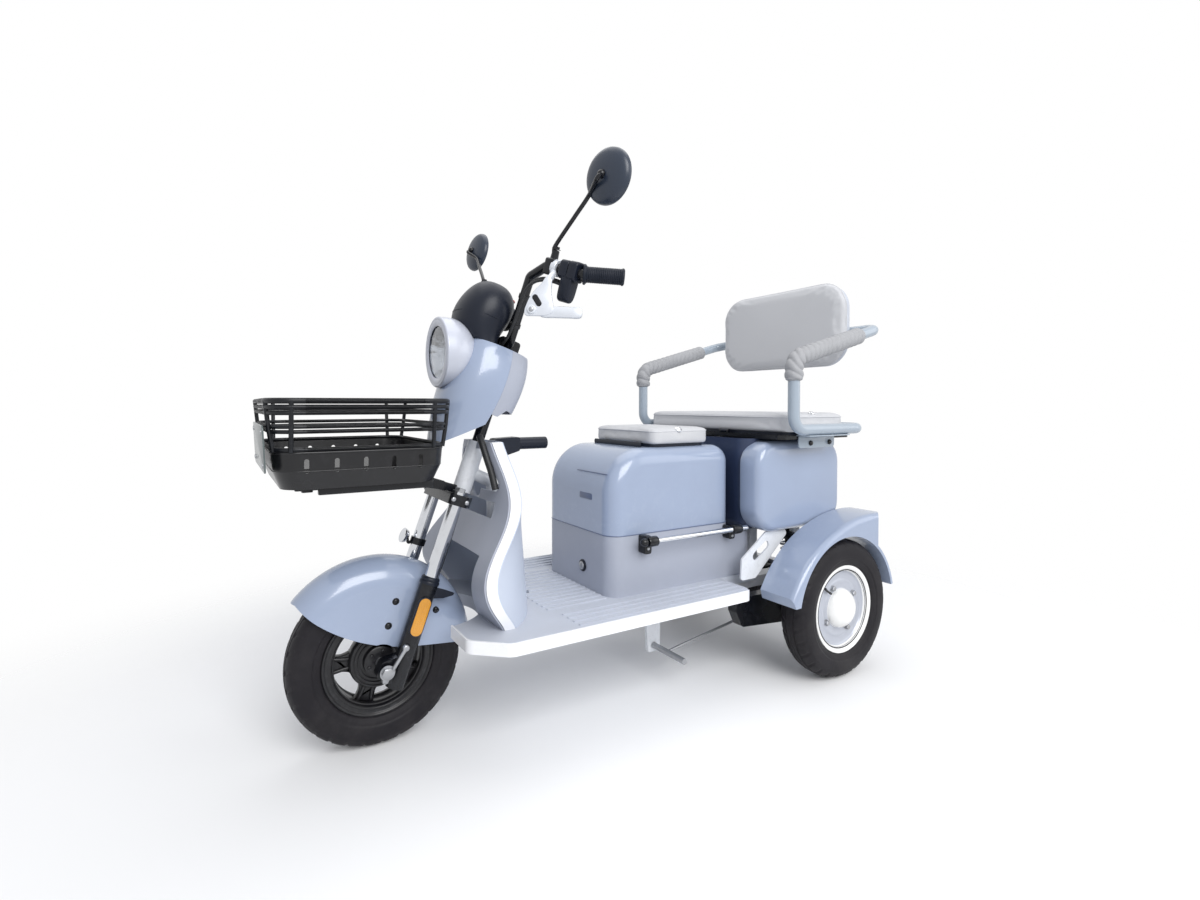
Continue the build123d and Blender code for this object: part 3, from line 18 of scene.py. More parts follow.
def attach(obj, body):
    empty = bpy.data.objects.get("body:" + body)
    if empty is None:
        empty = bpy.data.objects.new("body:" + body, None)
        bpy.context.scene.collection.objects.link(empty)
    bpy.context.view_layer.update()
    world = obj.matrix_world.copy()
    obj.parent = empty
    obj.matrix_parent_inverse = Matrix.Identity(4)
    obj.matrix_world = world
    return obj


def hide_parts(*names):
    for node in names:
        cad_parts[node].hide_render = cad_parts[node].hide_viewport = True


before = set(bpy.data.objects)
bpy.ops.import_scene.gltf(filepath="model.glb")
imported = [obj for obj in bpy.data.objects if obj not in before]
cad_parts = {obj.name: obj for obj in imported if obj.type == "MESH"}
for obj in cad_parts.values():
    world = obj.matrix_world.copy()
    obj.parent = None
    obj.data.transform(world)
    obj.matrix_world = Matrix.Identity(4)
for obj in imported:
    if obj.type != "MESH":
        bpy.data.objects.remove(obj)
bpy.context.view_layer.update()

LOG = logging.getLogger("tricycle")
Array = np.ndarray
Point = Sequence[float]
Piece = bpy.types.Object
Socket = bpy.types.NodeSocket
MM = 0.001
TAU = 2.0 * math.pi
QUARTER = TAU / 4
X, Y, Z = np.eye(3)
MERGE = 1e-5
BEVEL_FROM = math.radians(35.0)


# ---------------------------------------------------------------- steering geometry
RAKE = math.radians(20.0)
HEAD = np.array([0.0, -414.1, 518.9])
STEM = math.sin(RAKE) * Y + math.cos(RAKE) * Z
BEHIND = math.cos(RAKE) * Y - math.sin(RAKE) * Z


def steered(x: float | Array, back: float | Array, up: float | Array) -> Array:
    """A point given across, behind and up the raked steering axis, in the model's frame."""
    return (HEAD + np.multiply.outer(x, X) + np.multiply.outer(back, BEHIND)
            + np.multiply.outer(up, STEM))


# ---------------------------------------------------------------- curves and outlines
def pairs(*values: float) -> Array:
    """A table of numbers, two to a row."""
    return np.reshape(values, (-1, 2)).astype(float)


def both(*values: float) -> Array:
    """A profile led in by its own mirror image; a first point on the middle isn't doubled."""
    half = pairs(*values)
    lead = half[::-1] * (-1.0, 1.0)
    return np.vstack([lead[:-1] if half[0, 0] == 0.0 else lead, half])


def full_turn(count: int) -> Array:
    """Angles at equal steps round a full turn."""
    return np.linspace(0.0, TAU, count, endpoint=False)


def round_axle(centre: Point, out: float, radius: float, angle: float) -> Array:
    """A point round an axle that runs along X, its angle from +Y towards +Z."""
    return np.asarray(centre) + (out, radius * math.cos(angle), radius * math.sin(angle))


def lengths(line: Array) -> Array:
    """How far along a line each of its points lies."""
    return np.concatenate([[0.0], np.cumsum(np.linalg.norm(np.diff(line, axis=0), axis=1))])


def even_spacing(line: Array, count: int) -> Array:
    """The same line divided into count points at equal lengths along it."""
    run = lengths(line)
    at = np.linspace(0.0, run[-1], count)
    return np.stack([np.interp(at, run, line[:, k]) for k in range(line.shape[1])], axis=1)


def curve_through(points: Sequence[Point], steps: int = 12, closed: bool = False,
                  count: int = 0) -> Array:
    """A smooth line through points, by the Catmull-Rom formula.

    On each span p(t) = ((2 p1) + (p2 - p0) t + (2 p0 - 5 p1 + 4 p2 - p3) t^2
    + (3 p1 - p0 - 3 p2 + p3) t^3) / 2.

    Args:
        points: the points passed through, in order.
        steps: the divisions of each span.
        closed: whether the line comes back to its start.
        count: if given, the line is divided again into so many points at equal lengths.

    Returns:
        The line's points, one row each.
    """
    p = np.asarray(points, float)
    first, last = (p[-1:], p[:2]) if closed else (2 * p[:1] - p[1:2], 2 * p[-1:] - p[-2:-1])
    p = np.vstack([first, p, last])
    p0, p1, p2, p3 = p[:-3, None], p[1:-2, None], p[2:-1, None], p[3:, None]
    t = np.linspace(0.0, 1.0, steps, endpoint=False)[None, :, None]
    line = (2 * p1 + (p2 - p0) * t + (2 * p0 - 5 * p1 + 4 * p2 - p3) * t**2
            + (3 * p1 - p0 - 3 * p2 + p3) * t**3) / 2
    line = line.reshape(-1, p.shape[1])
    line = line if closed else np.vstack([line, p[-2]])
    return even_spacing(line, count) if count else line


def rounded_run(points: Sequence[Point], radius: float, steps: int = 12) -> Array:
    """Straight runs joined by arcs, each swept as (sin((1-t)w) u + sin(t w) v) / sin w."""
    p = np.asarray(points, float)
    line = [p[:1]]
    for before, corner, after in zip(p[:-2], p[1:-1], p[2:]):
        a, b = before - corner, after - corner
        a, b = a / np.linalg.norm(a), b / np.linalg.norm(b)
        half = math.acos(float(np.clip(np.dot(a, b), -1.0, 1.0))) / 2
        middle = corner + (a + b) / np.linalg.norm(a + b) * radius / math.sin(half)
        reach = radius / math.tan(half)
        u, v = corner + a * reach - middle, corner + b * reach - middle
        sweep, t = math.pi - 2 * half, np.linspace(0.0, 1.0, steps)[:, None]
        line.append(middle + (np.sin((1 - t) * sweep) * u + np.sin(t * sweep) * v) / math.sin(sweep))
    return np.vstack(line + [p[-1:]])


def rounded(half_x: float, half_y: float, radius: float, steps: int = 6, count: int = 0) -> Array:
    """An outline of four quarter circles joined by straight sides, anticlockwise from +X.

    Corner k has its centre at (+-(half_x - r), +-(half_y - r)) and sweeps a quarter turn.

    Args:
        half_x: half the width.
        half_y: half the depth.
        radius: the corners' radius.
        steps: the divisions of each corner.
        count: if given, the outline gets so many points at equal lengths round it.

    Returns:
        The outline's points in a plane.
    """
    radius = min(radius, half_x - 0.01, half_y - 0.01)
    angle = np.linspace(0.0, QUARTER, steps + 1)[None, :] + (np.arange(4) * QUARTER)[:, None]
    x = np.array([1, -1, -1, 1])[:, None] * (half_x - radius) + radius * np.cos(angle)
    y = np.array([1, 1, -1, -1])[:, None] * (half_y - radius) + radius * np.sin(angle)
    outline = np.stack([x.ravel(), y.ravel()], axis=1)
    return even_spacing(np.vstack([outline, outline[:1]]), count + 1)[:-1] if count else outline


def disc(radius: float, count: int = 32) -> Array:
    """A circle as a flat outline."""
    return radius * np.stack([np.cos(full_turn(count)), np.sin(full_turn(count))], axis=1)


def bulb(length: float, width: float, steps: int) -> Array:
    """The profile of a solid egg, (-length cos a, width sin a) over half a turn."""
    a = np.linspace(0.0, math.pi, steps)
    return np.stack([-length * np.cos(a), width * np.sin(a)], axis=1)


def drawn_in(outline: Array, distance: float) -> Array:
    """A closed anticlockwise outline moved inward, each point along its own normal."""
    run = np.roll(outline, -1, axis=0) - np.roll(outline, 1, axis=0)
    run /= np.maximum(np.linalg.norm(run, axis=1), 1e-6)[:, None]
    return outline - distance * np.stack([run[:, 1], -run[:, 0]], axis=1)


def with_depth(outline: Array, depth: float | Array, centre: Point = (0.0, 0.0)) -> Array:
    """A flat outline moved to a centre, with a depth at every point."""
    return np.column_stack([outline + np.asarray(centre), np.broadcast_to(depth, len(outline))])


def pillow(outline: Array, edge: float, level: float, crown: float, steps: int,
           shares: Sequence[float]) -> list[Array]:
    """Rings of a rounded edge and the crowned face inside it.

    An edge ring is drawn in by r (1 - cos a) at level + r sin a. A face ring scaled by s stands
    crown (1 - s^2) above the edge.

    Args:
        outline: the widest ring.
        edge: the edge's radius r.
        level: where the edge starts.
        crown: how far the middle stands above the edge.
        steps: the edge's rings.
        shares: the face rings' scales.

    Returns:
        The rings, outward.
    """
    rings = [with_depth(drawn_in(outline, edge * (1.0 - math.cos(a))), level + edge * math.sin(a))
             for a in np.linspace(0.0, QUARTER, steps)]
    inner = drawn_in(outline, edge)
    return rings + [with_depth(inner * s, level + edge + crown * (1.0 - s ** 2)) for s in shares]


def frames_along(path: Array, reference: Point, closed: bool = False) -> tuple[Array, Array]:
    """Two directions square to a path at each of its points, turned as little as may be.

    The first is the reference less its share along the path, the second is their cross product.
    """
    if closed:
        tangent = np.roll(path, -1, axis=0) - np.roll(path, 1, axis=0)
    else:
        tangent = np.gradient(path, axis=0)
    tangent /= np.linalg.norm(tangent, axis=1)[:, None]
    side = np.asarray(reference, float) - (tangent @ np.asarray(reference, float))[:, None] * tangent
    side /= np.linalg.norm(side, axis=1)[:, None]
    return side, np.cross(tangent, side)


@dataclass(frozen=True)
class Basis:
    """A place with three directions, where flat shapes are set into the model's frame."""

    origin: Array
    across: Array
    up: Array
    out: Array

    @classmethod
    def facing(cls, origin: Point, out: Point, up: Point = (0.0, 0.0, 1.0)) -> "Basis":
        """A basis that looks along out, with up as near as may be to the one given."""
        w = np.asarray(out, float) / np.linalg.norm(out)
        v = np.asarray(up, float) - w * np.dot(w, up)
        v /= np.linalg.norm(v)
        return cls(np.asarray(origin, float), np.cross(v, w), v, w)

    def placed(self, points: Array) -> Array:
        """Points given as (across, up) or (across, up, out), in the model's frame."""
        made = self.origin + points[..., :1] * self.across + points[..., 1:2] * self.up
        return made + points[..., 2:3] * self.out if points.shape[-1] > 2 else made

    def at(self, across: float, up: float, out: float = 0.0) -> Array:
        """One point of it, in the model's frame."""
        return self.placed(np.array([across, up, out]))

    def moved(self, across: float, up: float, out: float) -> "Basis":
        """The same directions at another place."""
        return replace(self, origin=self.at(across, up, out))


# ---------------------------------------------------------------- mesh building
@dataclass
class Shell:
    """A mesh in the making, in millimetres: grids, rings and caps gathered into one piece."""

    points: list[Array] = field(default_factory=list)
    faces: list[tuple[Array, int]] = field(default_factory=list)
    size: int = 0

    def _keep(self, points: Array) -> int:
        """Stores points and gives the number of the first of them."""
        first = self.size
        self.points.append(points.reshape(-1, 3))
        self.size += len(self.points[-1])
        return first

    def grid(self, grid: Array, along: bool = False, finish: int = 0) -> "Shell":
        """Adds a surface from rows of points, each row closed round.

        Args:
            grid: points by row and column, shape (rows, columns, 3).
            along: whether the last row joins the first.
            finish: the number of the finish its faces take.

        Returns:
            This shell.
        """
        rows, cols = grid.shape[:2]
        number = self._keep(grid) + np.arange(rows * cols).reshape(rows, cols)
        number = np.hstack([number, number[:, :1]])
        if along:
            number = np.vstack([number, number[:1]])
        quads = np.stack([number[:-1, :-1], number[:-1, 1:], number[1:, 1:], number[1:, :-1]], axis=-1)
        self.faces.append((quads.reshape(-1, 4), finish))
        return self

    def cap(self, ring: Array, centre: Array | None = None, finish: int = 0) -> "Shell":
        """Closes a ring with triangles to its centre."""
        centre = ring.mean(axis=0) if centre is None else np.asarray(centre, float)
        first, n = self._keep(np.vstack([ring, centre])), len(ring)
        edge = first + np.arange(n)
        self.faces.append((np.stack([edge, np.roll(edge, -1), np.full(n, first + n)], axis=-1), finish))
        return self

    def lid(self, ring: Array, finish: int = 0) -> "Shell":
        """Closes a ring with one flat face."""
        self.faces.append((self._keep(ring) + np.arange(len(ring))[None, :], finish))
        return self

    def stack(self, rings: Sequence[Array], finish: int = 0) -> "Shell":
        """Joins rings of equal count into a closed skin with a cap at each end."""
        return self.grid(np.stack(rings), finish=finish).cap(rings[0], None, finish).cap(
            rings[-1], None, finish)

    def turned(self, profile: Array, centre: Point, axis: Point = X, sides: int = 96,
               finish: int = 0, closed: bool = False) -> "Shell":
        """Turns a profile right round an axis: centre + along w + radius (cos a u + sin a v).

        Args:
            profile: (along the axis, radius) pairs.
            centre: the axis's origin.
            axis: its direction.
            sides: the divisions of a full turn.
            finish: the number of the finish.
            closed: whether the profile comes back to its start.

        Returns:
            This shell.
        """
        w = np.asarray(axis, float) / np.linalg.norm(axis)
        u = np.cross(w, Z if abs(w[2]) < 0.9 else X)
        u /= np.linalg.norm(u)
        angle = full_turn(sides)[:, None]
        ring = np.cos(angle) * u + np.sin(angle) * np.cross(w, u)
        along, radius = profile[:, :1, None], profile[:, 1:, None]
        return self.grid(np.asarray(centre, float) + along * w + radius * ring[None], closed, finish)

    def sweep(self, path: Array, side: Array, up: Array, radius: Array, sides: int,
              closed: bool = False, finish: int = 0) -> "Shell":
        """A round skin along a path: point(i, a) = path(i) + r(i, a) (cos a side(i) + sin a up(i))."""
        angle = full_turn(sides)[None, :, None]
        ring = np.cos(angle) * side[:, None] + np.sin(angle) * up[:, None]
        grid = path[:, None] + radius[..., None] * ring
        self.grid(grid, closed, finish)
        return self if closed else self.cap(grid[0], path[0], finish).cap(grid[-1], path[-1], finish)

    def tube(self, path: Array, radius: float | Array, reference: Point = (0.0, 0.0, 1.0),
             sides: int = 16, closed: bool = False, finish: int = 0) -> "Shell":
        """A round tube along a path.

        Args:
            path: the middle line, one row a point.
            radius: one radius, or one for each point.
            reference: a direction that the path never runs along.
            sides: the points round the section.
            closed: whether the path comes back to its start.
            finish: the number of the finish.

        Returns:
            This shell.
        """
        path = np.asarray(path, float)
        wide = np.broadcast_to(np.reshape(radius, (-1, 1)), (len(path), 1))
        return self.sweep(path, *frames_along(path, reference, closed), wide, sides, closed, finish)

    def bead(self, centre: Point, axis: Point, radius: float, height: float, sides: int = 20,
             finish: int = 0) -> "Shell":
        """A domed button standing along an axis, such as a screw head."""
        rise = pairs(0, 0, 0, 1, 0.45, 1, 0.8, 0.86, 1, 0.5, 1.05, 0) * (height, radius)
        return self.turned(rise, centre, axis, sides, finish)

    def hexagon(self, centre: Point, axis: Point, radius: float, height: float,
                finish: int = 0) -> "Shell":
        """A six-sided nut with chamfered corners and a washer under it."""
        size = (height, radius)
        self.turned(pairs(0, 0, 0, 1.25, 0.18, 1.25, 0.18, 0) * size, centre, axis, 24, finish)
        return self.turned(pairs(0.18, 0, 0.18, 1, 0.9, 1, 1, 0.88, 1, 0) * size, centre, axis, 6, finish)

    def plate(self, outline: Array, basis: Basis, depth: float, edge: float = 1.0,
              finish: int = 0) -> "Shell":
        """Adds a flat plate with softened rims.

        Its rings are the outline drawn in by the edge, the outline itself at edge and at
        depth - edge, and the drawn-in outline again at depth.

        Args:
            outline: the plate's outline, anticlockwise, across and up.
            basis: its place; it grows outward from there.
            depth: its thickness.
            edge: the rounding of its rims.
            finish: the number of the finish.

        Returns:
            This shell.
        """
        slope = edge * 0.3
        steps = ((edge, 0.0), (slope, slope), (0.0, edge), (0.0, depth - edge),
                 (slope, depth - slope), (edge, depth))
        grid = basis.placed(np.stack([with_depth(drawn_in(outline, inset), z) for inset, z in steps]))
        return self.grid(grid, finish=finish).lid(grid[0], finish).lid(grid[-1], finish)

    def plates(self, basis: Basis, *rows: tuple) -> "Shell":
        """Adds plates over one place, each given as outline, level, depth, edge and finish."""
        for outline, level, *rest in rows:
            self.plate(outline, basis.moved(0.0, 0.0, level), *rest)
        return self

    def dome(self, outline: Array, basis: Basis, height: float, finish: int = 0) -> "Shell":
        """Adds a cushioned lid: ring k is the outline times cos a at height sin a."""
        rings = [with_depth(outline * math.cos(a), height * math.sin(a))
                 for a in np.linspace(0.0, QUARTER, 8)[:-1]]
        grid = basis.placed(np.stack(rings))
        return self.grid(grid, finish=finish).cap(grid[-1], basis.at(0.0, 0.0, height), finish)

    def prisms(self, size: tuple[float, float, float, int], basis: Basis, case: tuple[float, float],
               inset: float, swell: tuple[float, float, float], cell: tuple[float, float],
               steps: Array) -> "Shell":
        """A lens of prisms in a frame, with its own finish 0 and the frame's 1.

        A ring scaled by s stands at base + crown (1 - s^power) + ripple |sin(pi u / w) sin(pi v / w)|.

        Args:
            size: the frame's half width, half height, corner radius and count of points.
            basis: its place.
            case: the frame's depth and edge.
            inset: the width of the frame's rim.
            swell: the lens's base, crown and power.
            cell: the ripple's height and the prisms' width w.
            steps: the rings' scales.

        Returns:
            This shell.
        """
        outline = rounded(*size[:3], 8, size[3])
        self.plate(outline, basis, *case, 1)
        inner = drawn_in(outline, inset)
        rings = []
        for share in steps:
            ripple = np.abs(np.prod(np.sin(math.pi * inner * share / cell[1]), axis=1))
            high = swell[0] + swell[1] * (1.0 - share ** swell[2]) + cell[0] * ripple
            rings.append(basis.placed(with_depth(inner * share, high)))
        return self.grid(np.stack(rings)).cap(rings[-1])

    def mirrored(self) -> "Shell":
        """Adds the same skin again on the other side of X = 0."""
        shift = self.size
        self.points.append(np.vstack(self.points) * (-1.0, 1.0, 1.0))
        self.size *= 2
        self.faces += [(faces[:, ::-1] + shift, finish) for faces, finish in list(self.faces)]
        return self

    def built(self, name: str, finishes: Sequence["Finish"], sharp: float) -> Piece:
        """Makes the mesh object, with its doubles merged, its faces outward and its edges set.

        Args:
            name: the piece's name.
            finishes: the finishes, in the order of their numbers.
            sharp: the angle in degrees from which an edge stays hard.

        Returns:
            The object, at the origin.
        """
        points = np.vstack(self.points) * MM
        mesh = bpy.data.meshes.new(name)
        loops = np.concatenate([f.ravel() for f, _ in self.faces])
        totals = np.concatenate([np.full(len(f), f.shape[1]) for f, _ in self.faces])
        numbers = np.concatenate([np.full(len(f), n) for f, n in self.faces])
        mesh.vertices.add(len(points))
        mesh.vertices.foreach_set("co", points.astype(np.float32).ravel())
        mesh.loops.add(len(loops))
        mesh.loops.foreach_set("vertex_index", loops.astype(np.int32))
        mesh.polygons.add(len(totals))
        mesh.polygons.foreach_set("loop_start", (np.cumsum(totals) - totals).astype(np.int32))
        mesh.polygons.foreach_set("material_index", numbers.astype(np.int32))
        mesh.update(calc_edges=True)
        mesh.validate()
        work = bmesh.new()
        work.from_mesh(mesh)
        bmesh.ops.remove_doubles(work, verts=work.verts, dist=MERGE)
        bmesh.ops.dissolve_degenerate(work, edges=work.edges, dist=MERGE / 2)
        bmesh.ops.recalc_face_normals(work, faces=work.faces)
        work.to_mesh(mesh)
        work.free()
        mesh.shade_smooth()
        mesh.set_sharp_from_angle(angle=math.radians(sharp))
        piece = bpy.data.objects.new(name, mesh)
        bpy.context.collection.objects.link(piece)
        for finish in finishes:
            mesh.materials.append(finish.material())
        return piece


def softened(piece: Piece, width: float, segments: int) -> Piece:
    """Rounds a piece's hard edges with a bevel, and gives the piece back."""
    bevel = piece.modifiers.new("rounding", "BEVEL")
    bevel.width = width * MM
    bevel.segments = segments
    bevel.limit_method = "ANGLE"
    bevel.angle_limit = BEVEL_FROM
    bevel.harden_normals = False
    return piece


def mounted(piece: Piece, body: str, slot: str, *nodes: str) -> Piece:
    """Sets a piece on its body.

    Args:
        piece: the finished piece.
        body: the body it moves with.
        slot: not used.
        nodes: the frame's nodes that it stands for.

    Returns:
        The piece.
    """
    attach(piece, body)
    if nodes:
        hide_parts(*nodes)
    return piece


class Assembly:
    """A sub-assembly that builds its pieces and sets each on the body it moves with."""

    body: str

    def build(self) -> list[Piece]:
        """Builds every piece and gives them back."""
        raise NotImplementedError

    def add(self, shell: Shell, name: str, finishes: Sequence["Finish"], slot: str, *nodes: str,
            sharp: float = 40.0, bevel: tuple[float, int] | None = None) -> Piece:
        """Makes a piece from its shell and sets it on the assembly's body.

        Args:
            shell: the piece's skin.
            name: the piece's name.
            finishes: its finishes, in the order of their numbers.
            slot: passed on to mounted, which does not use it.
            nodes: the frame's nodes that it stands for.
            sharp: the angle in degrees from which an edge stays hard.
            bevel: the width and the segments of its rounding, if it has one.

        Returns:
            The piece.
        """
        piece = shell.built(name, finishes, sharp)
        if bevel:
            softened(piece, *bevel)
        return mounted(piece, self.body, slot, *nodes)


# ---------------------------------------------------------------- shader groups shared by finishes
def linear(red: int, green: int, blue: int) -> tuple[float, float, float, float]:
    """A colour given in 0-255 display steps, as the linear values that shaders use.

    v = ((c + 0.055) / 1.055) ^ 2.4 above 0.04, and c / 12.92 below.
    """
    steps = [c / 255.0 for c in (red, green, blue)]
    r, g, b = [((c + 0.055) / 1.055) ** 2.4 if c > 0.04 else c / 12.92 for c in steps]
    return r, g, b, 1.0


@dataclass
class Net:
    """A node tree with short calls for adding and joining nodes."""

    tree: bpy.types.NodeTree

    def feed(self, socket: Socket, value: object) -> None:
        """Links a socket to an input, or sets the input's value."""
        if isinstance(value, Socket):
            self.tree.links.new(value, socket)
        else:
            socket.default_value = value

    def dress(self, node: bpy.types.Node, **values: object) -> bpy.types.Node:
        """Sets a node's properties, or its sockets where the name is one."""
        for key, value in values.items():
            if hasattr(node, key):
                setattr(node, key, value)
            else:
                self.feed(node.inputs[key.replace("_", " ")], value)
        return node

    def node(self, kind: str, *feeds: object, **values: object) -> bpy.types.Node:
        """Adds a node, with feeds for its first inputs and values by name."""
        made = self.dress(self.tree.nodes.new(f"ShaderNode{kind}"), **values)
        for socket, value in zip(made.inputs, feeds):
            self.feed(socket, value)
        return made

    def place(self) -> Socket:
        """The object's own coordinates."""
        return self.node("TexCoord").outputs["Object"]

    def math(self, operation: str, first: object, second: object = 0.0, clamp: bool = False) -> Socket:
        """Adds a Math node fed by sockets or numbers, and gives its output."""
        return self.node("Math", first, second, 0.0, operation=operation, use_clamp=clamp).outputs[0]

    def weighed(self, first: Socket, share: float, second: Socket, rest: float) -> Socket:
        """The sum share * first + rest * second."""
        return self.math("ADD", self.math("MULTIPLY", first, share), self.math("MULTIPLY", second, rest))

    def ramp(self, value: Socket, low: float, high: float, to_low: float = 0.0,
             to_high: float = 1.0) -> Socket:
        """Maps a value's range low to high onto another range, clamped and smooth."""
        return self.node("MapRange", value, low, high, to_low, to_high,
                         interpolation_type="SMOOTHSTEP").outputs["Result"]

    def blend(self, share: Socket, first: object, second: object) -> Socket:
        """Mixes two colours, given as sockets or colours, by a share from 0 to 1."""
        made = self.node("Mix", share, data_type="RGBA")
        self.feed(made.inputs[6], first)
        self.feed(made.inputs[7], second)
        return made.outputs[2]

    def mix_shaders(self, share: Socket, first: bpy.types.Node, second: bpy.types.Node) -> Socket:
        """Mixes two shaders by a share from 0 to 1."""
        return self.node("MixShader", share, first.outputs[0], second.outputs[0]).outputs[0]


class Groups:
    """The shader groups that several finishes share, each made once."""

    made: dict[str, bpy.types.NodeTree] = {}
    inputs = {"edge_wear": {"Scale": 60.0, "Amount": 0.6}, "road_dust": {"Scale": 14.0, "Amount": 0.4},
              "grain": {"Scale": 900.0}, "brushing": {"Scale": 700.0}, "hide": {"Scale": 420.0}}
    outputs = {"edge_wear": ["Mask"], "road_dust": ["Mask"], "grain": ["Height", "Tone"],
               "brushing": ["Lines"], "hide": ["Height", "Crease"]}

    @classmethod
    def use(cls, net: Net, name: str, **values: float) -> bpy.types.Node:
        """Adds a group's node to a net, and makes the group at its first use."""
        if name not in cls.made:
            tree = bpy.data.node_groups.new(name, "ShaderNodeTree")
            for label, value in cls.inputs[name].items():
                made = tree.interface.new_socket(label, in_out="INPUT", socket_type="NodeSocketFloat")
                made.default_value = value
            for label in cls.outputs[name]:
                tree.interface.new_socket(label, in_out="OUTPUT", socket_type="NodeSocketFloat")
            inner = Net(tree)
            given, out = tree.nodes.new("NodeGroupInput"), tree.nodes.new("NodeGroupOutput")
            results = getattr(cls, name)(inner, inner.place(), given.outputs)
            inner.dress(out, **dict(zip(cls.outputs[name], results)))
            cls.made[name] = tree
        return net.dress(net.node("Group", node_tree=cls.made[name]), **values)

    @staticmethod
    def edge_wear(net: Net, place: Socket, given: bpy.types.NodeOutputs) -> tuple[Socket, ...]:
        """Mask of rubbed edges: pointed places, broken up by noise."""
        noise = net.node("TexNoise", Vector=place, Scale=given["Scale"], Detail=6.0, Roughness=0.65)
        edge = net.ramp(net.node("NewGeometry").outputs["Pointiness"], 0.515, 0.62)
        worn = net.math("MULTIPLY", edge, net.ramp(noise.outputs["Fac"], 0.48, 0.66))
        return net.math("MULTIPLY", worn, given["Amount"], clamp=True),

    @staticmethod
    def road_dust(net: Net, place: Socket, given: bpy.types.NodeOutputs) -> tuple[Socket, ...]:
        """Mask of dust: on faces that look up, and near the ground, in soft patches."""
        noise = net.node("TexNoise", Vector=place, Scale=given["Scale"], Detail=8.0, Roughness=0.7)
        patch = net.ramp(noise.outputs["Fac"], 0.35, 0.8)
        low = net.ramp(net.node("SeparateXYZ", place).outputs["Z"], 0.45, 0.02)
        facing = net.node("SeparateXYZ", net.node("NewGeometry").outputs["Normal"])
        share = net.weighed(low, 0.7, net.ramp(facing.outputs["Z"], 0.3, 1.0), 0.3)
        return net.math("MULTIPLY", net.math("MULTIPLY", patch, share), given["Amount"], clamp=True),

    @staticmethod
    def grain(net: Net, place: Socket, given: bpy.types.NodeOutputs) -> tuple[Socket, ...]:
        """Fine moulded grain: cells under soft noise, as a height and as a value for colour."""
        cells = net.node("TexVoronoi", feature="SMOOTH_F1", Vector=place, Scale=given["Scale"],
                         Smoothness=0.4)
        soft = net.node("TexNoise", Vector=place, Scale=given["Scale"], Detail=5.0, Roughness=0.6)
        broad = net.node("TexNoise", Vector=place, Scale=9.0, Detail=3.0)
        return (net.weighed(cells.outputs["Distance"], 0.6, soft.outputs["Fac"], 0.4),
                broad.outputs["Fac"])

    @staticmethod
    def brushing(net: Net, place: Socket, given: bpy.types.NodeOutputs) -> tuple[Socket, ...]:
        """Fine lines of drawn or turned metal, as a height and a value."""
        stretch = net.node("Mapping", Vector=place, Scale=(1.0, 1.0, 0.04))
        lines = net.node("TexNoise", Vector=stretch.outputs[0], Scale=given["Scale"], Detail=4.0,
                         Roughness=0.7)
        return lines.outputs["Fac"],

    @staticmethod
    def hide(net: Net, place: Socket, given: bpy.types.NodeOutputs) -> tuple[Socket, ...]:
        """Embossed vinyl hide: two sizes of creased cells with fine pores."""
        warp = net.node("TexNoise", Vector=place, Scale=120.0, Detail=2.0)
        bent = net.node("VectorMath", warp.outputs["Color"], (0.004, 0.004, 0.004), place,
                        operation="MULTIPLY_ADD").outputs[0]
        cells = net.node("TexVoronoi", feature="DISTANCE_TO_EDGE", Vector=bent, Scale=given["Scale"])
        small = net.node("TexVoronoi", feature="DISTANCE_TO_EDGE", Vector=bent,
                         Scale=net.math("MULTIPLY", given["Scale"], 2.3))
        pores = net.node("TexNoise", Vector=bent, Scale=net.math("MULTIPLY", given["Scale"], 5.0),
                         Detail=4.0, Roughness=0.7)
        crease = net.ramp(cells.outputs["Distance"], 0.0, 0.16)
        height = net.weighed(crease, 0.6, net.ramp(small.outputs["Distance"], 0.0, 0.14), 0.3)
        return net.math("ADD", height, net.math("MULTIPLY", pores.outputs["Fac"], 0.1)), crease


# ---------------------------------------------------------------- finishes
class Surface(Enum):
    """How a finish's fine relief is made."""

    GLOSS = "gloss"
    MOULDED = "moulded"
    METAL = "metal"
    RUBBER = "rubber"
    HIDE = "hide"


GLOSS, MOULDED, METAL, RUBBER, HIDE = Surface


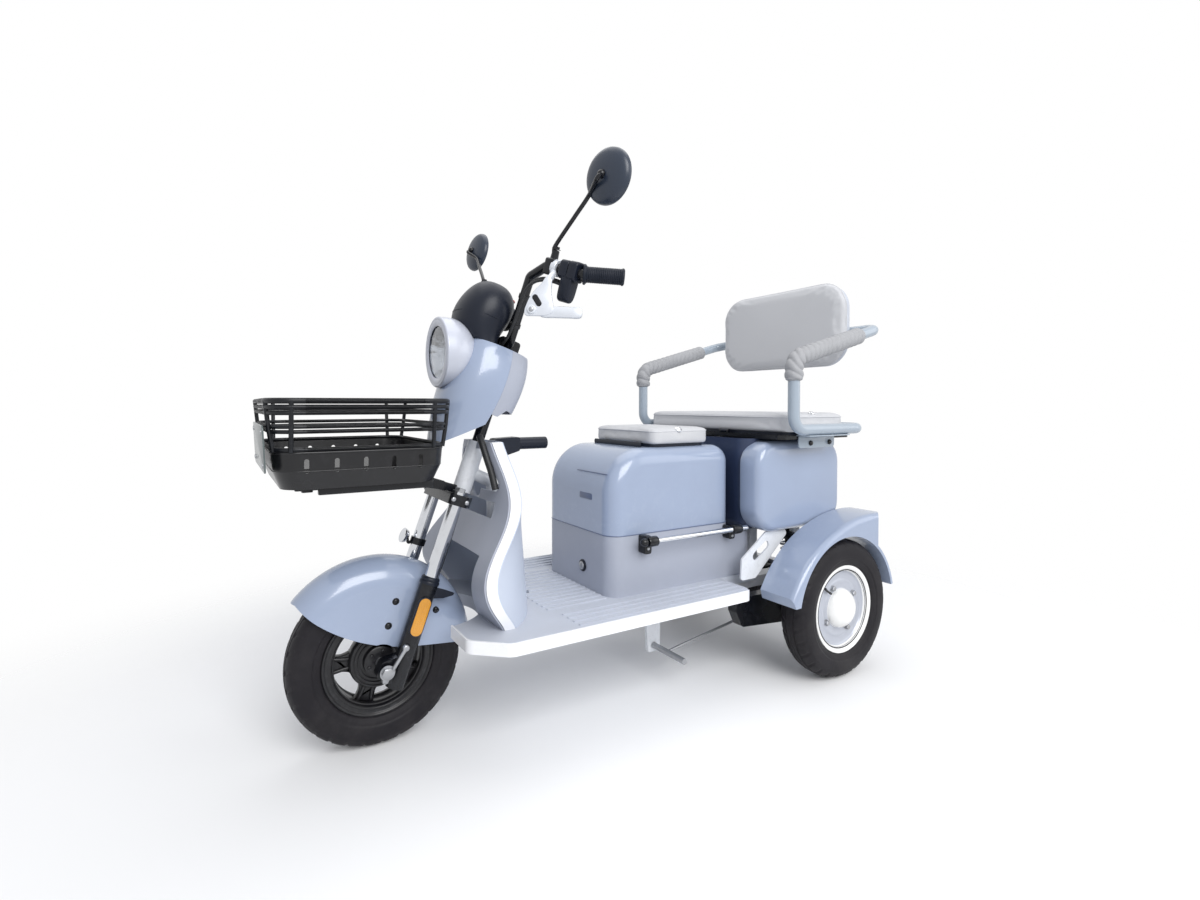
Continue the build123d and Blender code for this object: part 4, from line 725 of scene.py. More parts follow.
@dataclass(frozen=True)
class Finish:
    """A finish with its colour, its relief and its wear.

    Attributes:
        name: the material's name.
        colour: the display colour, in steps of 255.
        surface: the kind of fine relief.
        roughness: how dull it is.
        relief: the strength of the bump.
        wear: how much of its edges is rubbed.
        dust: how much dust lies on it.
        mottle: how far its colour varies.
        metallic: 1 for bare or plated metal.
        coat: the weight of a clear coat over it.
        scale: the relief's cells or lines to the metre.
        worn: the display colour under it.
        shine: the level of its plain reflection, 0.5 for most plastics.
    """

    name: str
    colour: tuple[int, int, int]
    surface: Surface
    roughness: float
    relief: float
    wear: float
    dust: float
    mottle: float = 0.05
    metallic: float = 0.0
    coat: float = 0.0
    scale: float = 900.0
    worn: tuple[int, int, int] = (214, 216, 220)
    shine: float = 0.5

    def material(self) -> bpy.types.Material:
        """The material, made at its first use."""
        label = f"{self.name}_finish"
        if label in bpy.data.materials:
            return bpy.data.materials[label]
        made = bpy.data.materials.new(label)
        made.use_nodes = True
        net, shader = Net(made.node_tree), made.node_tree.nodes["Principled BSDF"]
        height, tone = self.relief_of(net)
        bump = net.node("Bump", Strength=self.relief, Distance=0.0006, Height=height)
        net.dress(shader, Metallic=self.metallic, Coat_Weight=self.coat, Coat_Roughness=0.08,
                  Specular_IOR_Level=self.shine, Normal=bump.outputs["Normal"])
        self.dress(net, shader, tone)
        return made

    def dress(self, net: Net, shader: bpy.types.Node, tone: Socket) -> None:
        """Wires the colour and the roughness, with the wear and the dust over them."""
        base = linear(*self.colour)
        deep = tuple(c * (1.0 - 2.4 * self.mottle) for c in base[:3]) + (1.0,)
        colour = net.blend(net.ramp(tone, 0.3, 0.7), base, deep)
        wear = Groups.use(net, "edge_wear", Amount=self.wear).outputs["Mask"]
        colour = net.blend(wear, colour, linear(*self.worn))
        dust = Groups.use(net, "road_dust", Amount=self.dust).outputs["Mask"]
        rough = net.ramp(tone, 0.25, 0.75, self.roughness * 0.88, min(1.0, self.roughness * 1.14))
        net.dress(shader, Base_Color=net.blend(dust, colour, linear(168, 164, 158)),
                  Roughness=net.math("ADD", rough, net.math("MULTIPLY", dust, 0.35), clamp=True))

    def relief_of(self, net: Net) -> tuple[Socket, Socket]:
        """The relief's height and the tone that varies the colour."""
        grain = Groups.use(net, "grain", Scale=self.scale)
        height, tone = grain.outputs["Height"], grain.outputs["Tone"]
        if self.surface is METAL:
            height = Groups.use(net, "brushing", Scale=self.scale).outputs["Lines"]
        elif self.surface is HIDE:
            hide = Groups.use(net, "hide", Scale=self.scale)
            height = hide.outputs["Height"]
            tone = net.weighed(tone, 0.7, net.math("SUBTRACT", 1.0, hide.outputs["Crease"]), 0.3)
        elif self.surface is GLOSS:
            height = tone
        return height, tone


@dataclass(frozen=True)
class Clear(Finish):
    """A see-through moulding, such as a lens, with fine flow lines in its gloss."""

    index: float = 1.49

    def dress(self, net: Net, shader: bpy.types.Node, tone: Socket) -> None:
        """Wires a tinted clear shader."""
        base = linear(*self.colour)
        deep = tuple(c * 0.94 for c in base[:3]) + (1.0,)
        net.dress(shader, Transmission_Weight=1.0, IOR=self.index,
                  Base_Color=net.blend(net.ramp(tone, 0.3, 0.7), base, deep),
                  Roughness=net.ramp(tone, 0.25, 0.75, self.roughness * 0.8, self.roughness * 1.3))


PANEL_BLUE = Finish("panel_blue", (154, 167, 191), GLOSS, 0.22, 0.03, 0.06, 0.05, 0.015, coat=0.6,
                    worn=(222, 226, 232))
# A darker copy of the panel blue: painted shade, used for the cover's handle recess, its vent line and its
# seam.
PAINTED_SHADE_BLUE = Finish("shade_blue", (92, 104, 132), GLOSS, 0.4, 0.03, 0.05, 0.1, 0.03, coat=0.2)
PLASTIC_GREY = Finish("plastic_grey", (168, 173, 186), MOULDED, 0.42, 0.12, 0.06, 0.06, 0.015,
                      worn=(190, 193, 200))
FLOOR_GREY = Finish("floor_grey", (190, 195, 206), MOULDED, 0.5, 0.2, 0.12, 0.14, 0.02, scale=700.0,
                    worn=(205, 208, 214))
# The shield back's own bluish grey, made lighter to lift the shade in the wheel-arch recess: partly its own
# colour, partly painted light.
INNER_GREY_PAINTED_LIGHT = Finish("inner_grey", (194, 202, 217), MOULDED, 0.42, 0.12, 0.08, 0.08, 0.02)
TRIM_WHITE = Finish("trim_white", (244, 245, 248), GLOSS, 0.25, 0.03, 0.05, 0.06, 0.01, coat=0.5)
PAINT_WHITE = Finish("paint_white", (232, 235, 240), GLOSS, 0.32, 0.05, 0.15, 0.12, 0.02, coat=0.3,
                     worn=(170, 170, 172))
ARM_PAINT = Finish("arm_paint", (160, 172, 184), GLOSS, 0.28, 0.05, 0.12, 0.06, 0.02, coat=0.5,
                   worn=(160, 164, 170))
BLACK_PLASTIC = Finish("black_plastic", (26, 31, 43), MOULDED, 0.34, 0.14, 0.1, 0.02, 0.05,
                       worn=(50, 56, 68), shine=0.28)
TUB_BLACK = Finish("tub_black", (17, 17, 20), MOULDED, 0.3, 0.12, 0.1, 0.03, 0.05, coat=0.2,
                   worn=(60, 60, 64), shine=0.4)
MIRROR_SHELL = Finish("mirror_shell", (44, 53, 68), MOULDED, 0.3, 0.08, 0.06, 0.02, 0.03, worn=(70, 80, 96))
NAVY_PLASTIC = Finish("navy_plastic", (44, 56, 84), MOULDED, 0.36, 0.12, 0.08, 0.03, 0.04,
                      worn=(70, 82, 104))
BLACK_PAINT = Finish("black_paint", (12, 14, 20), GLOSS, 0.26, 0.05, 0.12, 0.03, 0.05, coat=0.25,
                     worn=(70, 74, 82), shine=0.3)
WIRE_COAT = Finish("wire_coat", (18, 20, 25), MOULDED, 0.34, 0.1, 0.15, 0.02, 0.05, worn=(74, 78, 86),
                   shine=0.35)
CAST_BLACK = Finish("cast_black", (20, 20, 24), MOULDED, 0.38, 0.2, 0.15, 0.05, 0.06, coat=0.2, scale=600.0,
                    worn=(90, 92, 96), shine=0.35)
CHROME = Finish("chrome", (224, 226, 230), METAL, 0.12, 0.02, 0.1, 0.1, 0.02, metallic=1.0,
                worn=(170, 170, 172))
ZINC = Finish("zinc", (176, 178, 182), METAL, 0.34, 0.08, 0.2, 0.35, 0.05, metallic=0.9,
              worn=(140, 138, 134))
TYRE_RUBBER = Finish("tyre_rubber", (26, 24, 29), RUBBER, 0.56, 0.25, 0.1, 0.06, 0.05, scale=1100.0,
                     worn=(46, 44, 48), shine=0.25)
GRIP_RUBBER = Finish("grip_rubber", (20, 26, 38), RUBBER, 0.55, 0.3, 0.1, 0.02, 0.05, scale=1500.0,
                     worn=(54, 60, 72), shine=0.25)
CABLE_BLACK = Finish("cable_black", (28, 29, 32), RUBBER, 0.45, 0.1, 0.1, 0.2, 0.04, worn=(80, 80, 82))
SEAT_VINYL = Finish("seat_vinyl", (200, 201, 204), HIDE, 0.5, 0.22, 0.04, 0.03, 0.015, scale=420.0,
                    worn=(214, 214, 216))
# Lighter than the seat vinyl: the welt is a real cord, and its lighter colour is a painted highlight along
# the pad's edge.
PIPING_PAINTED_HIGHLIGHT = Finish("seat_piping", (208, 209, 212), HIDE, 0.42, 0.15, 0.1, 0.1, 0.03, scale=700.0)
SLEEVE_FOAM = Finish("sleeve_foam", (166, 167, 170), HIDE, 0.55, 0.35, 0.1, 0.15, 0.05, scale=520.0,
                     worn=(214, 214, 214))
WHITE_ENAMEL = Finish("white_enamel", (244, 244, 242), GLOSS, 0.24, 0.03, 0.12, 0.25, 0.02, coat=0.4,
                      worn=(190, 190, 188))
DISH_GREY = Finish("dish_grey", (186, 190, 200), METAL, 0.3, 0.05, 0.08, 0.08, 0.02, metallic=0.25)
LAMP_SILVER = Finish("lamp_silver", (198, 202, 214), GLOSS, 0.34, 0.03, 0.1, 0.12, 0.02, metallic=0.1,
                     coat=0.5)
LEVER_ALLOY = Finish("lever_alloy", (222, 226, 233), METAL, 0.34, 0.06, 0.2, 0.15, 0.03, metallic=0.25,
                     coat=0.3, worn=(170, 172, 176))
BACK_SHELL = Finish("back_shell", (188, 193, 203), MOULDED, 0.4, 0.12, 0.05, 0.04, 0.02)
PLATE_DARK = Finish("plate_dark", (84, 94, 94), GLOSS, 0.3, 0.03, 0.1, 0.1, 0.04, coat=0.4,
                    worn=(170, 176, 178))
REFLECTOR = Finish("reflector_silver", (214, 216, 220), METAL, 0.08, 0.02, 0.0, 0.02, 0.02, metallic=1.0)
MIRROR_GLASS = Finish("mirror_glass", (222, 226, 230), GLOSS, 0.03, 0.0, 0.0, 0.05, 0.01, metallic=1.0)
AMBER = Finish("amber_lens", (218, 149, 28), GLOSS, 0.16, 0.02, 0.05, 0.12, 0.06, coat=0.8,
               worn=(246, 200, 110))
RED_LENS = Finish("red_lens", (168, 22, 26), GLOSS, 0.16, 0.02, 0.05, 0.15, 0.08, coat=0.8,
                  worn=(214, 90, 90))
DIAL_FACE = Finish("dial_face", (18, 22, 30), GLOSS, 0.12, 0.01, 0.0, 0.08, 0.05, coat=0.8)
LENS_CLEAR = Clear("lens_clear", (236, 240, 246), GLOSS, 0.05, 0.02, 0.0, 0.0)


# ---------------------------------------------------------------- wheels
@dataclass
class Wheel(Assembly):
    """A tyre with a moulded tread on its rim.

    Attributes:
        body: the body it turns with.
        tyre_node: the tyre's node.
        centre: the middle of the wheel.
        pitches: how many tread blocks go round.
        groove: the depth of the tread's grooves.
        turns: the divisions of the tyre round the axle.
    """

    body: str
    tyre_node: str
    centre: Point
    pitches: int = 30
    groove: float = 2.4
    turns: int = 440

    def tread(self, x: Array, turn: Array) -> Array:
        """How deep the tread is cut at a place.

        Two straight grooves run round at |x| = 11.2 mm. Outside them slanted grooves cross to the
        shoulder, where frac(pitches turn + slant |x| + half a pitch on one side) is near a half,
        and a shallow wave runs round the middle.

        Args:
            x: across the tread.
            turn: round the tyre, in full turns.

        Returns:
            The cut's share of the groove's depth, from 0 to 1.
        """
        def wall(distance: Array, half: float, soft: float) -> Array:
            """1 inside half, falling smoothly to 0 over soft."""
            t = np.clip((half + soft - distance) / soft, 0.0, 1.0)
            return t * t * (3.0 - 2.0 * t)

        across = np.abs(x)
        ring = wall(np.abs(across - 11.2), 1.3, 0.9)
        phase = self.pitches * turn + 0.014 * across + np.where(x > 0.0, 0.5, 0.0)
        slant = wall(np.abs(phase % 1.0 - 0.5), 0.085, 0.06) * wall(np.abs(across - 24.0), 8.8, 4.0)
        wave = wall(np.abs(x - 2.2 * np.sin(TAU * self.pitches * turn)), 0.6, 0.8) * 0.6
        return np.maximum(np.maximum(ring, slant), wave)

    def tyre(self) -> Piece:
        """The tyre: a closed section carried round the axle, less the tread's cuts.

        point(s, a) = centre + x(s) along the axle + (r(s) - groove tread(x, a)) (cos a, sin a).
        """
        crown = curve_through(both(0, 187.5, 11, 186.9, 22, 184.2, 31, 178.5, 34.5, 173.5), count=66)
        wall = curve_through(pairs(34.5, 173.5, 37.2, 168, 37.8, 167.2, 39.2, 160, 39.8, 151, 39.2, 141,
                                   38.4, 137.2, 37.2, 136.8, 35.8, 130, 33.6, 124.6, 33.6, 122.6, 31, 121.2,
                                   28.2, 118.6, 26.8, 114), count=26)
        inside = curve_through(both(0, 175.5, 24, 168, 30.5, 150, 24, 118, 18, 103.8, 26.8, 104)[::-1],
                               count=30)
        section = np.vstack([crown, wall[1:], inside, wall[:0:-1] * (-1.0, 1.0)])
        turn = np.linspace(0.0, 1.0, self.turns, endpoint=False)
        x = np.broadcast_to(section[:, :1], (len(section), self.turns))
        cut = self.tread(x, turn[None]) * (np.arange(len(x)) < len(crown))[:, None]
        spread = section[:, 1:] - self.groove * cut
        grid = np.stack([x, spread * np.cos(TAU * turn), spread * np.sin(TAU * turn)], axis=-1)
        shell = Shell().grid(grid + np.asarray(self.centre), along=True)
        return self.add(shell, f"{self.tyre_node}_tread", (TYRE_RUBBER,), "tyre", self.tyre_node, sharp=50.0)

    def valve(self, name: str, out: float, radius: float, lean: float) -> Piece:
        """A rubber valve stem with its cap, from the rim's well towards the hub."""
        reach = np.array([0.0, math.cos(lean), math.sin(lean)])
        foot = np.asarray(self.centre) + out * X + reach * radius
        tip = foot + math.copysign(4.0, out) * X - reach * 16.0
        path = curve_through([foot, foot - reach * 10.0, tip], count=10)
        shell = Shell().tube(path, np.linspace(3.6, 2.6, 10), (1.0, 0.2, 0.3), 12)
        shell.turned(pairs(0, 0, 0, 3.2, 6, 3.2, 7, 2.2, 7, 0), tip, tip - path[-3], 12)
        return self.add(shell, name, (CABLE_BLACK,), "black_plastic")


@dataclass
class FrontWheel(Wheel):
    """The cast front wheel, with its rim lips, spoke ribs, brake drum and nuts."""

    spokes: int = 5

    def build(self) -> list[Piece]:
        """Builds the tyre and the fittings on the cast rim."""
        return [self.tyre(), self.castings(), self.rim(), self.valve("front_valve", 16.0, 99.0, 2.2)]

    def spoke_bases(self) -> list[Basis]:
        """A place for each spoke: out from the axle, round it and along it; one points forward."""
        angles = math.pi + np.arange(self.spokes) * TAU / self.spokes
        return [Basis(np.array(self.centre), math.cos(a) * Y + math.sin(a) * Z,
                      math.cos(a) * Z - math.sin(a) * Y, X) for a in angles]

    def rim(self) -> Piece:
        """The stepped well, the drum and hub turned about the axle, and broad waisted spokes.

        A spoke's half width falls from 23 mm at the drum to 17 mm and widens to 25 mm at the well.
        """
        shell = Shell()
        well = both(12, 95, 15, 93, 23.2, 94, 24, 96.2, 28.8, 99, 29, 116.5, 26.2, 116.5, 26.2, 103.4)
        shell.turned(well, self.centre, X, 144, closed=True)
        hub = pairs(-38, 6.4, -38, 30, -36, 33.5, -18, 34, -12, 40, -7, 60, -4, 62, 17, 62, 20, 60, 20.4, 39,
                    22.5, 34.5, 36, 33.5, 38, 30, 38, 6.4)
        shell.turned(hub, self.centre, X, 112, closed=True)
        half = curve_through(pairs(54, 23.5, 66, 18.8, 78, 17, 88, 18.8, 96.2, 25), 5)
        for basis in self.spoke_bases():
            shell.plate(np.vstack([half * (1.0, -1.0), half[::-1]]), basis.moved(0.0, 0.0, -9.5), 19.0, 3.0)
        return self.add(shell, "front_cast_rim", (CAST_BLACK,), "black_metal", "front_rim", sharp=35.0)

    def castings(self) -> Piece:
        """Rolled rim lips, ribs along the spokes and a ring of bolts round the drum.

        A rib is a round bar whose height swells between its ends as sin(pi t).
        """
        shell = Shell()
        lip = pairs(26.2, 99, 29, 100, 30.2, 102.2, 29.2, 104.6, 28.4, 107.8, 28.8, 110.8, 30.2, 112.8,
                    31.8, 115, 32.2, 117.2, 30.6, 119, 27.2, 118.8, 26.6, 116, 26.2, 110)
        lip = curve_through(lip, 4, closed=True, count=40)
        reach, t = np.linspace(46.0, 98.5, 14), np.linspace(0.0, 1.0, 14)
        high, spread = 7.2 + 2.2 * np.sin(math.pi * t), 9.2 * (1.0 + 0.7 * t ** 2)
        for side in (1.0, -1.0):
            shell.turned(lip * (side, 1.0), self.centre, X, 144, closed=True)
            for basis in self.spoke_bases():
                reference = (0.3, 0.2, 1.0) if abs(basis.across[2]) < 0.9 else (0.3, 1.0, 0.2)
                for way in (-1.0, 1.0):
                    shell.tube(basis.placed(np.stack([reach, way * spread, side * high], axis=1)), 4.4,
                               reference, 10)
            for angle in np.arange(6) * TAU / 6 + 0.3:
                shell.bead(round_axle(self.centre, side * 38.0, 24.5, angle), side * X, 4.2, 4.0, 12)
        for radius in (57.5, 50.0, 42.5):
            ring = pairs(20, -2.2, 22.4, -1.4, 22.4, 1.4, 20, 2.2, 19, 0) + (0.0, radius)
            shell.turned(ring, self.centre, X, 96, closed=True)
        return self.add(shell, "front_rim_castings", (CAST_BLACK,), "black_metal")


@dataclass
class RearWheel(Wheel):
    """A pressed rear wheel: a white ring, a grey dish and a white hub cap."""

    side: float = 1.0

    def build(self) -> list[Piece]:
        """Builds the tyre, the pressed disc and its nuts."""
        name = "left_rear" if self.side > 0 else "right_rear"
        return [self.tyre(), self.pressing(name), self.valve(f"{name}_valve", self.side * 21.5, 94.0, 2.4)]

    def pressing(self, name: str) -> Piece:
        """The disc, turned from one closed profile of (out along the axle, radius) pairs."""
        white = pairs(26.2, 103.5, 26.8, 116.2, 28.8, 118.4, 30.8, 117.6, 31.2, 115, 30.6, 112.8, 29.2, 109.8,
                      26.2, 106.2, 22.2, 103, 18.8, 100.8)
        dish = pairs(18.2, 100, 15, 97.2, 13.6, 91, 14, 81, 16, 75, 16.4, 70, 14.8, 64, 15, 58, 16.2, 53.5)
        cap = pairs(17, 53, 22.5, 52.2, 28, 49.5, 33, 45.5, 37.5, 40.5, 41, 35, 43.6, 29, 45.2, 22, 46, 13,
                    46.3, 0)
        back = pairs(-30, 0, -30, 24, -28, 28, 6, 29, 10, 53.5, 10, 94, 6, 97.2, -22, 98.5, -29.2, 101,
                     -30, 116, -28, 118.2, -26.6, 116, -26.2, 103.5, 26.2, 103.5)
        shell, axis = Shell(), self.side * X
        for finish, run in ((0, white), (1, [white[-1], *dish]), (0, [dish[-1], *cap])):
            shell.turned(curve_through(run, 4), self.centre, axis, 144, finish)
        shell.turned(back, self.centre, axis, 144)
        for angle in np.arange(4) * TAU / 4 + 0.5:
            shell.hexagon(round_axle(self.centre, self.side * 14.8, 65.5, angle), axis, 7.2, 9.0, 2)
        return self.add(shell, f"{name}_disc", (WHITE_ENAMEL, DISH_GREY, ZINC), "white_metal",
                        f"{name}_rim", sharp=32.0)


# ---------------------------------------------------------------- steering head
BAR = np.array([steered(0.0, -19.0, 382.0), steered(0.0, -19.0, 382.0) + 42.0 * X, (128.0, -288.0, 1034.0),
                (178.0, -272.0, 1050.0), (262.0, -232.0, 1020.0), (307.0, -164.0, 1013.0)])
MIRROR_RISE = np.array([0.277, 0.132, 0.952])
MIRROR_SHARE = 0.84


def along_bar(share: float, first: int = 4, last: int = 3) -> tuple[Array, Array]:
    """A point on a run of the bar, by default from its outer upper bend, and the run's direction."""
    run = BAR[last] - BAR[first]
    return BAR[first] + run * share, run / np.linalg.norm(run)


@dataclass
class Grips(Assembly):
    """Ribbed rubber grips with flanges and bar ends."""

    body: str = "steering"
    radius: float = 16.8
    ribs: int = 22

    def build(self) -> list[Piece]:
        """Builds the grip of one side and mirrors it.

        Between its flange and its domed end the radius is r (0.965 + 0.06 |sin(pi ribs t)|^0.6).
        """
        start = along_bar(0.01, 4, 5)[0]
        run = BAR[5] - start
        length = float(np.linalg.norm(run)) + 4.0
        t = np.linspace(0.10, 0.93, 200)
        ribbed = self.radius * (0.965 + 0.06 * np.abs(np.sin(math.pi * self.ribs * t)) ** 0.6)
        flange = pairs(0, 11.3, 0, 20.5, 1.5, 21.8, 4.5, 21.8, 6, 20)
        end = pairs(-4, 16.8, -2.5, 18.4, 0.5, 18.4, 3, 15.12, 3.5, 7.5, 1, 7, 1, 0) + (length, 0.0)
        profile = np.vstack([flange, np.stack([t * length, ribbed], axis=1), end])
        shell = Shell().turned(profile, start, run, 56).mirrored()
        return [self.add(shell, "bar_grips", (GRIP_RUBBER,), "rubber", "grips", sharp=60.0)]


@dataclass
class Controls(Assembly):
    """Switch bodies, brake levers with their perches, and the mirrors' clamps."""

    body: str = "steering"
    lever_pivot: Point = (200.0, -333.0, 942.0)

    def build(self) -> list[Piece]:
        """Builds the controls of the left side and mirrors them."""
        return [self.switches(), self.buttons(), self.levers(), self.clamps()]

    def switches(self) -> Piece:
        """A two-part body round the bar with a lobe that hangs below it."""
        shell = Shell()
        for low, high, wide in ((0.07, 0.30, 1.0), (0.31, 0.54, 0.96)):
            depth = float(np.linalg.norm(along_bar(high)[0] - along_bar(low)[0]))
            shell.plate(rounded(19.5 * wide, 21.5 * wide, 10.0, 5) + (0.0, 1.0),
                        Basis.facing(*along_bar(low)), depth, 2.5)
        lobe = curve_through(pairs(15, 0, 17, -30, 15, -56, 8, -66, -6, -66, -14, -54, -16, -26, -15, 0,
                                   0, 4), 5, closed=True)
        shell.plate(lobe[::-1], Basis.facing(*along_bar(0.14)), 30.0, 4.0).mirrored()
        return self.add(shell, "switch_bodies", (BLACK_PLASTIC,), "black_plastic", "switch_housings",
                        sharp=45.0, bevel=(1.2, 2))

    def buttons(self) -> Piece:
        """Rocker keys and a round button on each body, facing the rider."""
        out = np.cross(along_bar(0.0)[1], Z)
        out /= np.linalg.norm(out)
        button, keys = [Basis.facing(along_bar(share)[0] + out * 18.8, out) for share in (0.18, 0.40)]
        shell = Shell().dome(disc(6.2, 24), button, 4.2, 2)
        for rise, finish in ((7.0, 0), (-6.0, 1)):
            shell.plate(rounded(7.5, 4.5, 2.0, 3) + (0.0, rise), keys, 3.5, 1.0, finish)
        return self.add(shell.mirrored(), "switch_keys", (PLASTIC_GREY, BLACK_PLASTIC, RED_LENS),
                        "black_plastic", sharp=50.0)

    def levers(self) -> Piece:
        """Cast levers: a broad slotted arm below the bar's bend and a flat blade under the grip.

        The arm and the blade are outlines in an upright plane through the pivot, which runs beside
        the grip; the arm is thinner than the blade, and a round boss joins them.
        """
        basis = Basis.facing(self.lever_pivot, (0.8, -0.6, 0.0))
        arm = curve_through(pairs(-4, -8, 12, -10, 40, -10, 56, -2, 55, 18, 52, 40, 53, 66, 42, 72, 31, 58,
                                  18, 46, 7, 31, 0, 17, -5, 4), 5, closed=True)
        blade = curve_through(pairs(30, -12, 60, -14.5, 90, -16, 110, -16.8, 116.8, -12, 117.2, -1, 114, 6,
                                    95, 7.4, 72, 9, 50, 8.5, 30, 4), 5, closed=True)
        slot = rounded(6.2, 14.0, 6.0) @ pairs(0.86, 0.5, -0.5, 0.86)
        shell = Shell().plates(basis, (arm, -6.0, 11.5, 2.0), (blade, -11.5, 15.0, 3.2))
        shell.plate(slot, basis.moved(22.0, 22.0, 5.2), 1.2, 0.3, 1)
        shell.turned(both(8, 9.5, 9.5, 8, 9.5, 0), basis.at(10.0, 3.0), basis.out, 36)
        shell.bead(basis.at(10.0, 3.0, 9.2), basis.out, 5.2, 3.0, 20, 2)
        spot, run = along_bar(0.72)
        shell.turned(both(5.8, 18.8, 7, 17.8, 7, 11.2), spot, run, 40, closed=True)
        neck = basis.at(46.0, 64.0)
        shell.tube(curve_through([spot + (0.0, -10.0, -8.0), (spot + neck) / 2, neck], count=14), 7.5, X, 18)
        return self.add(shell.mirrored(), "cast_levers", (LEVER_ALLOY, BLACK_PAINT, ZINC), "steel",
                        "brake_levers", sharp=42.0, bevel=(1.2, 2))

    def clamps(self) -> Piece:
        """Blocks that hold the mirrors' stems at the bar's upper bend."""
        spot, run = along_bar(0.86)
        shell = Shell().plate(rounded(16.5, 18.5, 6.0, 4), Basis.facing(spot - run * 11.0, run), 22.0, 2.0)
        shell.turned(pairs(0, 0, 0, 9.5, 24, 8, 26, 0), spot + MIRROR_RISE * 12.0, MIRROR_RISE, 24)
        shell.hexagon(spot + MIRROR_RISE * 38.0, MIRROR_RISE, 7.8, 7.0).mirrored()
        return self.add(shell, "mirror_clamps", (BLACK_PAINT,), "black_metal", sharp=42.0)


@dataclass
class Mirrors(Assembly):
    """Round mirrors with domed backs on bent stems."""

    body: str = "steering"
    radius: float = 56.0
    centre: Point = (344.0, -224.0, 1202.0)
    kink: Point = (302.0, -243.0, 1172.0)

    def build(self) -> list[Piece]:
        """Builds both mirrors, each with its own facing."""
        shell, glass = Shell(), Shell()
        for side, facing in ((1.0, (-0.25, 0.965, 0.04)), (-1.0, (-0.11, 0.98, -0.17))):
            self.head(shell, glass, side, np.array(facing) / np.linalg.norm(facing))
        return [self.add(shell, "mirror_cases", (MIRROR_SHELL, BLACK_PAINT), "black_metal", "mirrors",
                         sharp=45.0),
                self.add(glass, "mirror_glass", (MIRROR_GLASS,), "chrome")]

    def head(self, shell: Shell, glass: Shell, side: float, facing: Array) -> None:
        """One head: a shell turned about its facing, a rim bead, a ball joint and a stem.

        The back's profile is (-d cos a, r sin(a)^0.92) for a from 0 to a quarter turn, d = 19 mm.

        Args:
            shell: takes the case and the stem.
            glass: takes the reflecting face.
            side: 1 for the left, -1 for the right.
            facing: the direction that the glass looks.
        """
        flip = np.array([side, 1.0, 1.0])
        centre, kink = np.array(self.centre) * flip, np.array(self.kink) * flip
        a = np.linspace(0.0, QUARTER, 18)
        back = np.stack([-19.0 * np.cos(a), self.radius * np.sin(a) ** 0.92], axis=1)
        rim = pairs(2, 0.6, 5.2, 0.3, 6.8, -1.4, 6.6, -3.4, 5, -4.2, 5, -self.radius) + (0.0, self.radius)
        shell.turned(np.vstack([back, rim]), centre, facing)
        inner = self.radius - 4.3
        glass.turned(pairs(5.2, 0, 5.3, 30, 5.5, inner, 5.1, inner), centre, facing)
        foot = along_bar(MIRROR_SHARE)[0] + MIRROR_RISE * 12.0
        bend = (foot + (10.0, 0.0, 36.0)) * flip
        line = [foot * flip, (foot + (3.0, -2.0, 22.0)) * flip, bend, kink * 0.6 + bend * 0.4, kink,
                centre - facing * 32.0 + (0.0, 0.0, -10.0), centre - facing * 16.0]
        shell.tube(curve_through(line, 10, count=60), 4.7, (0.2, 1.0, 0.0), 14, finish=1)
        shell.turned(bulb(9.0, 9.0, 12), centre - facing * 20.0, facing, 24, 1)


